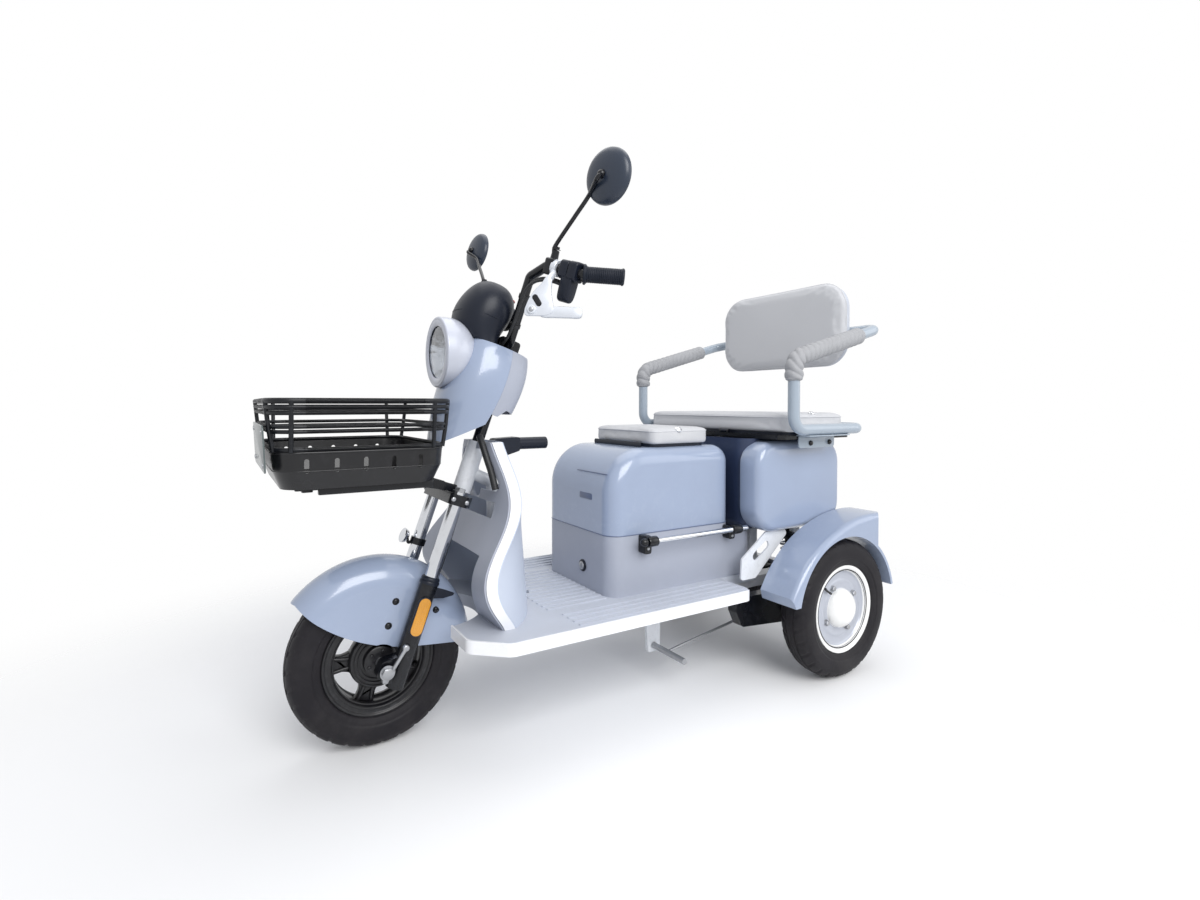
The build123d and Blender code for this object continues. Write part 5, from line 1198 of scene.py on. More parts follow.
@dataclass
class Headlight(Assembly):
    """The headlight's bezel, reflector, bulb and fluted lens; the bowl is the frame's own."""

    body: str = "steering"
    centre: Point = (0.0, -463.0, 864.0)
    radius: float = 82.0

    def build(self) -> list[Piece]:
        """Builds the lamp's parts."""
        c = np.array(self.centre)
        return [self.bezel(c), self.reflector(c), self.lens(c)]

    def bezel(self, c: Array) -> Piece:
        """A rolled bead, a broad slope inside it and a screw below."""
        a = full_turn(24)
        bead = np.stack([0.5 + 4.2 * np.sin(a), self.radius - 4.6 + 4.8 * np.cos(a)], axis=1)
        slope = pairs(3, -4, 5, -9, 5.2, -14, 4, -19.5, 2.2, -21.5, 1, -20, 1, -5) + (0.0, self.radius)
        shell = Shell()
        for profile in (bead, slope):
            shell.turned(profile, c, -Y, 144, closed=True)
        shell.bead(c + (0.0, -3.0, 4.6 - self.radius), (0.0, -0.4, -1.0), 3.4, 3.0, 14, 1)
        return self.add(shell, "headlight_bezel", (LAMP_SILVER, ZINC), "chrome")

    def reflector(self, c: Array) -> Piece:
        """A faceted bowl, rippled as cos(18 a) towards its rim, round a shielded bulb."""
        r, a, widest = np.linspace(10.0, 74.2, 26)[:, None], full_turn(144)[None], 74.2
        depth = 9.5 + 46.0 * (1.0 - (r / widest) ** 1.6) + 1.2 * np.cos(18 * a) * (r / widest) ** 2
        grid = c + np.stack([r * np.cos(a), depth, r * np.sin(a)], axis=-1)
        shell = Shell().grid(grid).cap(grid[0])
        shell.turned(pairs(0, 0, 0, 13, 4, 13.6, 16, 12, 18, 9, 18, 0), c + 24.0 * Y, Y, 40, 1)
        for side in (-1.0, 1.0):
            shell.tube([c + (side * 12.0, 32.0, 0.0), c + (side * 30.0, 30.0, -6.0)], 1.6, (0.0, 0.3, 1.0), 8,
                       finish=1)
        return self.add(shell, "headlight_reflector", (REFLECTOR, CHROME), "chrome", sharp=60.0)

    def lens(self, c: Array) -> Piece:
        """A domed clear lens whose inner face has flutes, d(x) = 0.9 mm |sin(pi x / 6 mm)|."""
        widest, wall, rise = 74.6, 2.8, -3.0
        r, a = np.linspace(0.0, widest, 56)[1:, None], full_turn(180)[None]
        x, z = r * np.cos(a), r * np.sin(a)
        front = rise + 5.0 * (r / widest) ** 2.4
        flute = 0.9 * np.abs(np.sin(math.pi * x / 6.0)) * np.clip((66.0 - r) / 6.0, 0.0, 1.0)
        outer = c + np.stack([x, front + 0.0 * a, z], axis=-1)
        inner = c + np.stack([x, np.maximum(front, 0.0) + wall + flute, z], axis=-1)
        shell = Shell().grid(np.concatenate([outer, inner[::-1]]))
        shell.cap(outer[0], c + rise * Y).cap(inner[0], c + wall * Y)
        return self.add(shell, "headlight_glass", (LENS_CLEAR,), "lens", "headlight_lens", sharp=60.0)


@dataclass
class Dashboard(Assembly):
    """The dome's gauge panel towards the rider, its rim, key switch, cables and clamp bolts."""

    body: str = "steering"
    key: Point = (89.0, -318.0, 817.0)

    def build(self) -> list[Piece]:
        """Builds the fittings that stand on the dome, and dresses the bar clamp."""
        return [self.gauge(), self.seam(), self.bolts(), self.key_switch(), self.bar_cables()]

    def key_switch(self) -> Piece:
        """A key switch low on the left of the column cover, in a raised ring."""
        shell = Shell().plates(Basis.facing(self.key, (0.94, 0.34, 0.0)),
                               (disc(12.5, 40), 0.0, 4.0, 1.4), (disc(8.5), 3.6, 2.6, 0.8, 1),
                               (rounded(0.9, 4.6, 0.6, 2), 6.0, 0.5, 0.2))
        return self.add(shell, "key_switch", (BLACK_PLASTIC, ZINC), "black_plastic", sharp=45.0)

    def bar_cables(self) -> Piece:
        """Two clipped cables along the underside of each half of the bar, into the dome's foot."""
        shell = Shell()
        route = np.array([(236, -243, 992), (206, -262, 1014), (170, -286, 1022), (141, -302, 1006),
                          (120, -308, 972), (94, -312, 932), (66, -318, 898), (36, -332, 872)], float)
        for shift in ((0.0, 0.0, 0.0), (4.0, -6.0, -6.0)):
            shell.tube(curve_through(route + shift, 10, count=90), 3.3, (0.3, 1.0, 0.0), 10)
        for share in (0.30, 0.72):
            shell.turned(both(5, 12.8, 5, 11.2), *along_bar(share, 1, 2), 28, closed=True)
        return self.add(shell.mirrored(), "bar_cables", (CABLE_BLACK,), "black_plastic")

    def gauge(self) -> Piece:
        """An oval gauge on the dome's rear face: a rim, a dark domed window, a scale and a needle.

        Scale mark k stands at angle a_k = -130 + 26 k degrees from the top.
        """
        out = BEHIND + 0.22 * STEM
        basis = Basis.facing(steered(0.0, -30.5, 452.0), out)
        shell = Shell().plate(disc(1.0, 72) * (44.0, 30.0), basis, 6.0, 2.0)
        shell.dome(disc(1.0, 72) * (38.0, 24.5), basis.moved(0.0, 0.0, 6.2), 2.8, 1)
        for a in np.radians(-130.0 + 26.0 * np.arange(11)):
            s, c = math.sin(a), math.cos(a)
            mark = Basis(basis.at(29.0 * s, 17.5 * c, 7.2), basis.across * c - basis.up * s,
                         basis.across * s + basis.up * c, basis.out)
            shell.plate(rounded(0.5, 2.2, 0.4, 2), mark, 0.8, 0.2, 2)
        needle = Basis.facing(basis.at(0.0, 0.0, 9.2), out, basis.up * 0.6 - basis.across)
        shell.plate(pairs(1.4, -4, 0.4, 18, -0.4, 18, -1.4, -4), needle, 0.6, 0.1, 3)
        return self.add(shell, "dash_gauge", (BLACK_PLASTIC, DIAL_FACE, TRIM_WHITE, RED_LENS),
                        "black_plastic", sharp=50.0)

    def seam(self) -> Piece:
        """A bead round the dome where its cap meets its skirt, and two warning lamps."""
        a = full_turn(96)
        back = np.where(np.sin(a) > 0, 54.5, 69.0)
        ring = steered(81.2 * np.cos(a), -89.5 + back * np.sin(a), 418.5)
        shell = Shell().tube(ring, 1.6, (0.0, 0.3, 1.0), 8, closed=True)
        for side, finish in ((-1.0, 1), (1.0, 2)):
            shell.bead(steered(side * 30.0, -40.0, 488.5), 0.75 * BEHIND + STEM, 5.0, 3.5, 20, finish)
        return self.add(shell, "dome_seam", (BLACK_PLASTIC, AMBER, RED_LENS), "black_plastic")

    def bolts(self) -> Piece:
        """Clamp bolts on the bar mount and nuts at the crown's ends and stem."""
        shell = Shell()
        for side in (-1.0, 1.0):
            shell.hexagon(steered(side * 77.0, -34.0, 18.5), STEM, 12.5, 9.0)
            for back in (-50.0, -18.0):
                shell.bead(steered(side * 97.2, back, 0.0), side * X, 5.2, 3.5, 16)
        shell.hexagon(steered(0.0, -4.0, 12.5), STEM, 19.5, 6.0)
        return self.add(shell, "crown_bolts", (ZINC,), "steel", sharp=38.0)


# ---------------------------------------------------------------- soft goods
VOXEL = 0.005
PRESSURE = 4.0
CLOTH_STEPS = 20
STIFFNESS = 60.0
BENDING = 9.0
SLACK = 1.2
RAY = 0.08


def mesh_points(mesh: bpy.types.Mesh) -> Array:
    """A mesh's points as an array, in metres."""
    flat = np.empty(len(mesh.vertices) * 3, np.float32)
    mesh.vertices.foreach_get("co", flat)
    return flat.reshape(-1, 3).astype(float)


def worked(piece: Piece) -> bpy.types.Mesh:
    """The mesh that a piece's modifiers make of it."""
    depsgraph = bpy.context.evaluated_depsgraph_get()
    return bpy.data.meshes.new_from_object(piece.evaluated_get(depsgraph))


def swollen(piece: Piece, held: Callable[[Array], Array], reach: float) -> Piece:
    """Fills a pad as cloth under pressure and keeps the shape that it takes.

    The pad's skin is remeshed, its held points are pinned, and 20 frames are stepped. No point is
    kept further than reach from its start: p' = p + d min(1, reach / |d|).

    Args:
        piece: the pad, a closed skin.
        held: tells from the points which of them rest on the pan, from 0 to 1.
        reach: how far a point may move, in metres.

    Returns:
        The same piece, with its new mesh.
    """
    remesh = piece.modifiers.new("remesh", "REMESH")
    remesh.mode = "VOXEL"
    remesh.voxel_size = VOXEL
    skin = worked(piece)
    piece.modifiers.remove(remesh)
    finish = [slot.material for slot in piece.material_slots]
    piece.data = skin
    start = mesh_points(skin)
    group = piece.vertex_groups.new(name="held")
    group.add(np.flatnonzero(held(start) > 0.5).tolist(), 1.0, "REPLACE")
    cloth = piece.modifiers.new("padding", "CLOTH")
    cloth.settings.use_pressure = True
    cloth.settings.uniform_pressure_force = PRESSURE
    cloth.settings.vertex_group_mass = group.name
    cloth.settings.effector_weights.gravity = 0.0
    cloth.settings.quality = 4
    cloth.settings.tension_stiffness = cloth.settings.compression_stiffness = STIFFNESS
    cloth.settings.bending_stiffness = BENDING
    scene = bpy.context.scene
    for step in range(1, CLOTH_STEPS + 1):
        scene.frame_set(step)
    made = worked(piece)
    piece.modifiers.remove(cloth)
    piece.vertex_groups.clear()
    scene.frame_set(1)
    moved = mesh_points(made) - start
    length = np.linalg.norm(moved, axis=1)[:, None]
    final = start + moved * np.minimum(1.0, reach / np.maximum(length, 1e-9))
    made.vertices.foreach_set("co", final.astype(np.float32).ravel())
    made.materials.clear()
    for material in finish:
        made.materials.append(material)
    piece.data = made
    made.shade_smooth()
    smoothing = piece.modifiers.new("smoothing", "SUBSURF")
    smoothing.levels = smoothing.render_levels = 1
    return piece


@dataclass
class Cushion(Assembly):
    """A stuffed vinyl pad with a welt round its edge and metal studs.

    Attributes:
        name: the piece's name.
        node: the frame's soft solid.
        body: the body it moves with.
        basis: the middle of its resting face, looking the way the pad grows.
        half: half its width and half its length.
        depth: its thickness at the edge of its upper face.
        crown: how far its middle stands above that.
        corner: its plan's corner radius.
        edge: the roundness of its upper edge.
        studs: places of its studs, across, up and out.
        seam: the welt's level, as a share of the depth.
        swell: how much smaller it starts than the size that it fills.
        foot: the height of its rounded foot.
    """

    name: str
    node: str
    body: str
    basis: Basis
    half: tuple[float, float]
    depth: float
    crown: float
    corner: float
    edge: float
    studs: tuple[Point, ...] = ()
    seam: float = 0.80
    swell: float = 1.8
    foot: float = 6.0

    def form(self) -> Shell:
        """The pad before it is filled: a rounded foot, an upright side and a pillow."""
        outline = rounded(self.half[0] - self.swell, self.half[1] - self.swell, self.corner, 10, 220)
        level = self.depth - self.swell - self.edge
        rings = [with_depth(outline * 0.2, 0.0), with_depth(drawn_in(outline, self.foot), 0.0),
                 with_depth(drawn_in(outline, 1.5), 2.0)]
        rings += [with_depth(outline, self.foot + (level - self.foot) * share)
                  for share in (0.0, 0.35, 0.6, 0.8)]
        rings += pillow(outline, self.edge, level, self.crown, 7, (0.92, 0.8, 0.62, 0.42, 0.2))
        return Shell().stack([self.basis.placed(ring) for ring in rings])

    def held(self, points: Array) -> Array:
        """The points of the resting face, in metres, which the pan holds."""
        return ((points - self.basis.origin * MM) @ self.basis.out < 4.0 * MM).astype(float)

    def build(self) -> list[Piece]:
        """Builds the pad, its welt and its studs."""
        pad = swollen(self.form().built(self.name, (SEAT_VINYL,), 80.0), self.held,
                      (self.swell + SLACK) * MM)
        mounted(pad, self.body, "vinyl", self.node)
        pieces = [pad, self.welt(pad)]
        if self.studs:
            shell = Shell()
            for place in self.studs:
                way = self.basis.out * 0.8 + self.basis.across * math.copysign(0.6, place[0])
                for radius, height, sides in ((9.8, 3.4, 32), (6.4, 5.8, 28)):
                    shell.bead(self.basis.at(*place), way, radius, height, sides)
            pieces.append(self.add(shell, f"{self.name}_studs", (CHROME,), "chrome"))
        return pieces

    def welt(self, pad: Piece) -> Piece:
        """A cord of vinyl sewn round the edge, laid where rays from outside meet the filled pad; its lighter
        colour is a painted highlight.
        """
        shape = pad.evaluated_get(bpy.context.evaluated_depsgraph_get())
        outline = rounded(*self.half, self.corner, 10, 260)
        level = self.depth * self.seam
        path = []
        for flat, away in zip(outline, drawn_in(outline, -1.0) - outline):
            start = self.basis.at(*(flat + away * 30.0), level) * MM
            way = self.basis.across * -away[0] + self.basis.up * -away[1]
            hit, place, _, _ = shape.ray_cast(Vector(start), Vector(way), distance=RAY)
            path.append(np.array(place) / MM if hit else self.basis.at(*flat, level))
        shell = Shell().tube(np.array(path), 1.9, self.basis.out, 8, closed=True)
        return self.add(shell, f"{self.name}_welt", (PIPING_PAINTED_HIGHLIGHT,), "vinyl")


@dataclass
class Sleeves(Assembly):
    """Foam sleeves gathered in folds over the armrests' bends."""

    body: str = "chassis"
    x: float = 312.0
    radius: float = 23.6
    mouth: float = 15.4
    bend: float = 38.0
    pleat: float = 19.0
    count: int = 340

    def build(self) -> list[Piece]:
        """Builds one sleeve and mirrors it.

        The radius at s mm along and a round is r - (1 mm + 3.2 mm g) (1 - |sin(pi s / pleat
        + 1.5 sin(a + 0.7) + 0.5 sin(2a + 0.04 s))|^0.7). Here g falls from 1 at the bend to 0.4, as
        a bell of 75 mm.
        """
        line = rounded_run([(self.x, 383, 804), (self.x, 383, 862), (self.x, 658, 937.3)], self.bend)
        path = even_spacing(line, self.count)
        run = np.linspace(0.0, lengths(line)[-1], self.count)[:, None]
        a = full_turn(44)[None]
        gather = 0.4 + 0.6 * np.exp(-((run - 75.0) / 75.0) ** 2)
        wave = np.abs(np.sin(math.pi * run / self.pleat + 1.5 * np.sin(a + 0.7)
                             + 0.5 * np.sin(2 * a + 0.04 * run)))
        radius = self.radius - (1.0 + 3.2 * gather) * (1.0 - wave ** 0.7)
        end = np.minimum(run, run[-1] - run)
        radius -= (self.radius - self.mouth) * np.clip(1.0 - end / 7.0, 0.0, 1.0) ** 2
        shell = Shell().sweep(path, *frames_along(path, X), radius, 44).mirrored()
        piece = self.add(shell, "gathered_sleeves", (SLEEVE_FOAM,), "vinyl", "armrest_sleeves", sharp=70.0)
        return [piece]


@dataclass
class Armrest(Assembly):
    """The bent tube round the bench with its foot plates."""

    body: str = "chassis"
    radius: float = 15.0

    def build(self) -> list[Piece]:
        """Builds the tube as one run from foot to foot, and the two bolted feet.

        Each direction square to the run is the one before it, less its share along the run.
        """
        half = np.array([(252, 672, 676.6), (312, 672, 676.6), (312, 383, 676.6), (312, 383, 862),
                         (312, 748, 962)])
        line = rounded_run(np.vstack([half, half[::-1] * (-1.0, 1.0, 1.0)]), 38.0, 14)
        line = line[np.concatenate([[True], np.linalg.norm(np.diff(line, axis=0), axis=1) > 0.01])]
        tangent = np.gradient(line, axis=0)
        tangent /= np.linalg.norm(tangent, axis=1)[:, None]
        side = [np.cross(tangent[0], Z)]
        for way in tangent[1:]:
            square = side[-1] - way * np.dot(way, side[-1])
            side.append(square / np.linalg.norm(square))
        side = np.array(side)
        shell = Shell().sweep(line, side, np.cross(tangent, side), np.full((1, 1), self.radius), 28)
        for way in (1.0, -1.0):
            tab = Basis.facing((way * 278.5, 518, 643), way * X)
            foot = Basis.facing((way * 302, 518, 658.6), Z, Y)
            shell.plate(rounded(75, 18, 9, 5), tab, 3.6, 0.8).plate(rounded(23.5, 88, 10, 5), foot, 3.0, 0.6)
        return [self.add(shell, "armrest_tube", (ARM_PAINT,), "white_metal", "armrest_frame", sharp=42.0)]


# ---------------------------------------------------------------- basket
@dataclass
class Basket(Assembly):
    """The wire basket over its plastic tub, with a blank plate in front and a rack below."""

    body: str = "steering"
    half_width: float = 200.0
    front: float = -838.0
    rear: float = -490.0
    rim: float = 750.0
    corner: float = 46.0

    def build(self) -> list[Piece]:
        """Builds the wires, the plate and the rack; the tub is the frame's own."""
        return [self.wires(), self.front_plate(), self.rack(), self.tub_trim()]

    def ring(self, shell: Shell, z: float, shrink: float, radius: float) -> None:
        """One closed wire at a height, inside the basket's plan by shrink."""
        inset, half_length = shrink + radius, (self.rear - self.front) / 2
        outline = rounded(self.half_width - inset, half_length - inset, self.corner, 8, 150)
        shell.tube(with_depth(outline, z, (0.0, (self.front + self.rear) / 2)), radius, Z, 12, closed=True)

    def wires(self) -> Piece:
        """A doubled rim, a pair of wires half way down, one over the tub, and posts at the corners."""
        shell = Shell()
        for z, shrink, radius in ((0, 0, 5.2), (-11, 1, 4.2), (-21.5, 3, 4.2), (-46.5, 7.5, 3.7),
                                  (-55.5, 8.5, 3.7), (-88, 12, 4.0)):
            self.ring(shell, self.rim + z, shrink, radius)
        waist, foot = self.rim - 48.0, 657.8
        for y, lean in ((self.front, 1.0), (self.rear, -1.0)):
            post, wide = y + 44.0 * lean, self.half_width
            shell.tube([(wide - 5.0, post, self.rim), (wide - 10.0, post, waist), (wide - 17.0, post, foot)],
                       4.2, Y, 10)
            shell.tube([(158, y + 5.0 * lean, self.rim), (158, y + 9.8 * lean, waist),
                        (158, y + 17.0 * lean, foot)], 4.2, X, 10)
        return self.add(shell.mirrored(), "basket_wires", (WIRE_COAT,), "black_metal", "basket_frame")

    def front_plate(self) -> Piece:
        """A blank plate hung on the front wires."""
        basis = Basis.facing((40.0, self.front + 3.0, 664.0), (0.0, -1.0, -0.05))
        shell = Shell().plate(rounded(136, 43, 10), basis, 3.0, 0.8)
        for x in (-112.0, 112.0):
            for z in (-30.0, 30.0):
                shell.bead(basis.at(x, z, 2.8), basis.out, 4.8, 2.2, 16, 1)
        return self.add(shell, "basket_front_plate", (PLATE_DARK, ZINC), "grey_plastic")

    def rack(self) -> Piece:
        """Two flat bars and three cross bars under the tub, between two edge bars."""
        shell = Shell()
        for half, place, depth, edge in (((8, 110), (-150, -635, 574.5), 15.0, 1.0),
                                         ((8, 110), (150, -635, 574.5), 15.0, 1.0),
                                         ((11, 132), (-115, -650, 580), 6.6, 0.6),
                                         ((11, 132), (115, -650, 580), 6.6, 0.6),
                                         ((126, 10), (0, -760, 576.5), 4.5, 0.6),
                                         ((126, 10), (0, -660, 576.5), 4.5, 0.6),
                                         ((126, 10), (0, -560, 576.5), 4.5, 0.6)):
            shell.plate(rounded(*half, 4.0, 3), Basis.facing(place, Z, Y), depth, edge)
        return self.add(shell, "basket_rack", (BLACK_PAINT,), "black_metal", bevel=(0.6, 1))

    def tub_trim(self) -> Piece:
        """A rolled lip on the tub and a bead round its foot."""
        shell = Shell()
        self.ring(shell, 656.0, 12.5, 2.6)
        self.ring(shell, 622.5, 15.5, 1.4)
        return self.add(shell, "tub_beads", (TUB_BLACK,), "black_plastic")


# ---------------------------------------------------------------- fork and fender fittings
@dataclass
class Fork(Assembly):
    """Fender screws, seals, tabs and reflectors on the sliders, torque rods, a cable and a horn."""

    body: str = "steering"
    leg: float = 77.0
    back: float = -34.0
    axle: Point = (0.0, -606.0, 187.5)

    def build(self) -> list[Piece]:
        """Builds the fittings of both legs."""
        return [self.fittings(), self.bright(), self.reflectors(), self.fender_bolts(), self.cable(),
                self.horn()]

    def horn(self) -> Piece:
        """A small horn on a stalk in front of the right fork leg."""
        centre = np.array([-80.0, -522.0, 430.0])
        foot = steered(-self.leg, self.back - 13.0, -125.0)
        shell = Shell().turned(pairs(-10, 0, -10, 10, -6, 15, 0, 17.2, 3, 17.6, 4, 16, 3, 12, 4.2, 6, 3, 0),
                               centre, (0.10, -0.90, 0.42), 56)
        line = [centre + (0.0, 8.0, -4.0), (centre + foot) / 2 + (0.0, 0.0, -12.0), foot]
        shell.tube(curve_through(line, count=20), 3.6, X, 12, finish=1)
        shell.turned(both(8, 18.6, 8, 15.2), steered(-self.leg, self.back, -125.0), STEM, 40, 1, closed=True)
        return self.add(shell, "fork_horn", (CHROME, BLACK_PAINT), "chrome", sharp=45.0)

    def fittings(self) -> Piece:
        """Dust seals with two ridges on the sliders' mouths, and a small tab behind each."""
        seal = pairs(-4, 15, -4, 21.2, 0, 21.8, 3, 21.2, 4, 19.8, 7, 20.5, 10, 19.6, 12, 17, 12.5, 15.2)
        shell = Shell().turned(seal, steered(self.leg, self.back, -185.0), STEM, 48)
        tab = pairs(0, -12, 26, -6, 46, 4, 48, 8, 30, 10, 0, 12)
        basis = Basis(steered(self.leg + 6.0, self.back + 14.0, -205.0), BEHIND, STEM, -X)
        shell.plate(tab[::-1], basis, 5.0, 0.8).mirrored()
        return self.add(shell, "fork_fittings", (BLACK_PLASTIC,), "black_metal", sharp=45.0)

    def bright(self) -> Piece:
        """Axle nuts with washers and the rod from each slider to the axle plate."""
        top = steered(self.leg + 24.5, self.back - 12.0, -322.0)
        foot = np.array(self.axle) + (self.leg + 21.0, -4.0, -16.0)
        rod = np.array([top, (top + foot) / 2 + 2.0 * X, foot])
        shell = Shell().tube(even_spacing(rod, 12), 3.8, X, 12)
        for spot in (top, foot):
            shell.bead(spot - 3.0 * X, X, 7.4, 6.5, 18)
        shell.turned(pairs(0, 0, 0, 14.5, 2, 14.5, 2, 0), self.axle + (self.leg + 20.0) * X, X, 32)
        shell.hexagon(self.axle + (self.leg + 21.5) * X, X, 12.5, 9.5).mirrored()
        return self.add(shell, "axle_nuts", (ZINC,), "steel", sharp=38.0)

    def reflectors(self) -> Piece:
        """Amber reflectors of prisms in a dark frame on the sliders."""
        basis = Basis.facing(steered(97.0, -38.0, -255.0), X, STEM)
        shell = Shell().prisms((15.0, 42.0, 14.5, 96), basis, (7.0, 1.2), 2.2, (7.2, 1.8, 4.0), (0.6, 5.0),
                               np.linspace(1.0, 0.04, 26))
        return self.add(shell.mirrored(), "amber_reflectors", (AMBER, BLACK_PLASTIC), "amber",
                        "fork_reflectors", sharp=70.0, bevel=(0.8, 2))

    def fender_bolts(self) -> Piece:
        """Screws that hold the fender's stays."""
        shell = Shell()
        for y, z in ((-577, 319), (-593, 269), (-488, 286)):
            shell.bead((54.8, y, z), X, 5.8, 4.2, 20)
            shell.turned(pairs(0, 0, 0, 7.8, 1.2, 7.8, 1.4, 0), (55.0, y, z), X, 24)
        return self.add(shell.mirrored(), "fender_screws", (BLACK_PAINT,), "black_metal")

    def cable(self) -> Piece:
        """The front brake's cable down the back of the left leg."""
        route = [*steered(*pairs(52, -10, 60, -12, 60.5, -14, 60, -14, 52, -14).T,
                          np.array([-30.0, -120.0, -220.0, -320.0, -392.0])), (40.0, -566.0, 170.0)]
        shell = Shell().tube(curve_through(route, count=70), 2.9, X, 10)
        return self.add(shell, "brake_cable", (CABLE_BLACK,), "black_plastic")


# ---------------------------------------------------------------- boxes and floor
@dataclass
class Boxes(Assembly):
    """Fittings of the battery box and its cover, foot bars and the rear pods."""

    body: str = "chassis"
    face: float = -86.0
    conduit_route: tuple[Point, ...] = ((48, -380, 670), (58, -380.5, 660), (71.5, -379.8, 643),
                                        (85.5, -377.4, 619), (98, -373.3, 593), (108, -370.5, 568),
                                        (112.5, -368.2, 552))

    def build(self) -> list[Piece]:
        """Builds the fittings on both boxes."""
        return [self.front_fittings(), self.foot_bars(), self.pods(), self.screws(), self.seam(),
                self.hinge_cover(), self.conduit()]

    def hinge_cover(self) -> Piece:
        """A black cover over the seat's hinge, open behind where the knuckles turn."""
        a = np.linspace(0.75 * math.pi, 1.42 * math.pi, 16)
        arc = np.stack([np.cos(a), np.sin(a)], axis=1)
        section = np.vstack([9.8 * arc, 8.6 * arc[::-1]]) + (53.0, 637.6)
        ends = [np.column_stack([np.full(len(section), x), section]) for x in (-108.0, 108.0)]
        shell = Shell().grid(np.stack(ends)).lid(ends[0]).lid(ends[1])
        return self.add(shell, "hinge_cover", (BLACK_PLASTIC,), "black_plastic")

    def conduit(self) -> Piece:
        """A ribbed conduit down the shield's front face, beside its trim.

        Its radius is r + 0.6 mm |sin(pi s / 4.5 mm)|.
        """
        line = curve_through(self.conduit_route, 14, count=150)
        run = np.linspace(0.0, lengths(line)[-1], 150)
        shell = Shell().tube(line, 7.4 + 0.6 * np.abs(np.sin(math.pi * run / 4.5)), X, 20)
        return self.add(shell, "wiring_conduit", (CABLE_BLACK,), "black_plastic", sharp=60.0)

    def front_fittings(self) -> Piece:
        """The key lock low on the box's front, and a handle recess and a vent line on the cover's, the last
        two as thin plates in painted shade.
        """
        shell = Shell().plates(Basis.facing((34.0, self.face + 1.0, 325.0), -Y),
                               (disc(15.5, 40), 0.0, 4.5, 1.5), (disc(10.5, 36), 4.0, 3.2, 0.8, 1),
                               (rounded(1.1, 5.6, 0.8, 2), 6.8, 0.6, 0.2))
        # Handle recess: a raised plate in painted shade, standing for the shade inside a hollow.
        shell.plate(rounded(29.0, 8.0, 4.5, 5), Basis.facing((47.5, self.face + 0.5, 508.5), -Y), 1.6, 0.6, 2)
        # Vent line: a thin plate in painted shade, standing for the shade in a groove.
        vent = Basis.facing((64.0, self.face + 8.2, 570.0), (0.0, -1.0, 0.12))
        shell.plate(rounded(70.0, 1.2, 1.0, 3), vent, 1.2, 0.4, 2)
        return self.add(shell, "box_front_fittings", (BLACK_PLASTIC, ZINC, PAINTED_SHADE_BLUE), "black_plastic",
                        sharp=45.0)

    def foot_bars(self) -> Piece:
        """Bright rods held at both ends in black blocks, with a rounded black end forward."""
        x, z = 200.0, 409.0
        shell = Shell().tube([(x, -12.0, z), (x, 160.0, z), (x, 334.0, z)], 7.2, Z, 28)
        for y, deep in ((8.0, 23.0), (296.0, 18.0)):
            shell.plate(rounded(11.0, deep, 6.0, 4), Basis.facing((159.5, y, 397.0), X), 26.0, 1.5, 1)
            shell.turned(both(12, 12.8, 14, 11.8, 14, 7.3), (x, y, z), Y, 32, 1, closed=True)
            shell.plate(rounded(9.0, 8.0, 3.0, 3), Basis.facing((182.0, y, 405.0), X), 10.0, 1.0, 1)
            shell.bead((185.2, y, 388.0), X, 4.2, 3.0, 16, 2)
        shell.turned(bulb(12.0, 10.2, 16), (x, -14.0, z), Y, 28, 1).mirrored()
        return self.add(shell, "foot_bar_rods", (CHROME, BLACK_PAINT, ZINC), "chrome", "foot_bars",
                        sharp=42.0)

    def pods(self) -> Piece:
        """A dark inner box between two rounded side pods whose outer faces swell by 7 mm."""
        outline = rounded(173.5, 125.5, 70.0, 12, 200)
        basis = Basis(np.array([168.0, 511.0, 519.5]), Y, Z, X)
        rings = [with_depth(drawn_in(outline, inset), level)
                 for inset, level in ((12.0, 0.0), (3.0, 3.0), (0.0, 12.0))]
        rings += pillow(outline, 22.0, 50.0, 7.0, 8, (0.94, 0.85, 0.7, 0.5, 0.25))
        shell = Shell().stack([basis.placed(ring) for ring in rings]).mirrored()
        self.inner_box(shell)
        return self.add(shell, "rear_pods", (PANEL_BLUE, NAVY_PLASTIC, BLACK_PLASTIC), "blue_plastic",
                        "rear_box", sharp=50.0)

    def inner_box(self, shell: Shell) -> None:
        """The open box between the pods, with three ribs and a blank panel on its rear face."""
        box = rounded(190.0, 166.5, 40.0, 8, 120)
        levels = ((392.5, 30), (399, 12), (420, 0), (648.9, 0), (648.9, 4), (448, 4))
        shell.stack([with_depth(drawn_in(box, inset), z, (0.0, 514.0)) for z, inset in levels], finish=1)
        for z in (450.0, 478.0, 506.0):
            shell.plate(rounded(70.0, 5.5, 5.0, 4), Basis.facing((0.0, 680.0, z), Y), 2.6, 1.0, 1)
        shell.plate(rounded(100.0, 30.0, 8.0, 4), Basis.facing((0.0, 680.0, 590.0), Y), 2.2, 1.0, 2)

    def screws(self) -> Piece:
        """Screws on the armrests' foot tabs, the brackets and the seat deck."""
        shell = Shell()
        for y, z in ((490, 638), (570, 639)):
            shell.bead((282.6, y, z), X, 7.0, 4.5, 20).hexagon((282.4, y, z), X, 5.8, 5.2)
        for y in (455, 640):
            shell.bead((300.0, y, 661.2), Z, 5.5, 3.5, 16)
        return self.add(shell.mirrored(), "tab_screws", (BLACK_PAINT,), "steel", sharp=42.0)

    def seam(self) -> Piece:
        """A fine bead where the cover meets the box, coloured in painted shade."""
        outline = rounded(160.2, 203.7, 40.0, 8, 160)
        shell = Shell().tube(with_depth(outline, 420.0, (0.0, 117.5)), 1.3, Z, 8, closed=True)
        return self.add(shell, "cover_seam", (PAINTED_SHADE_BLUE,), "blue_plastic")


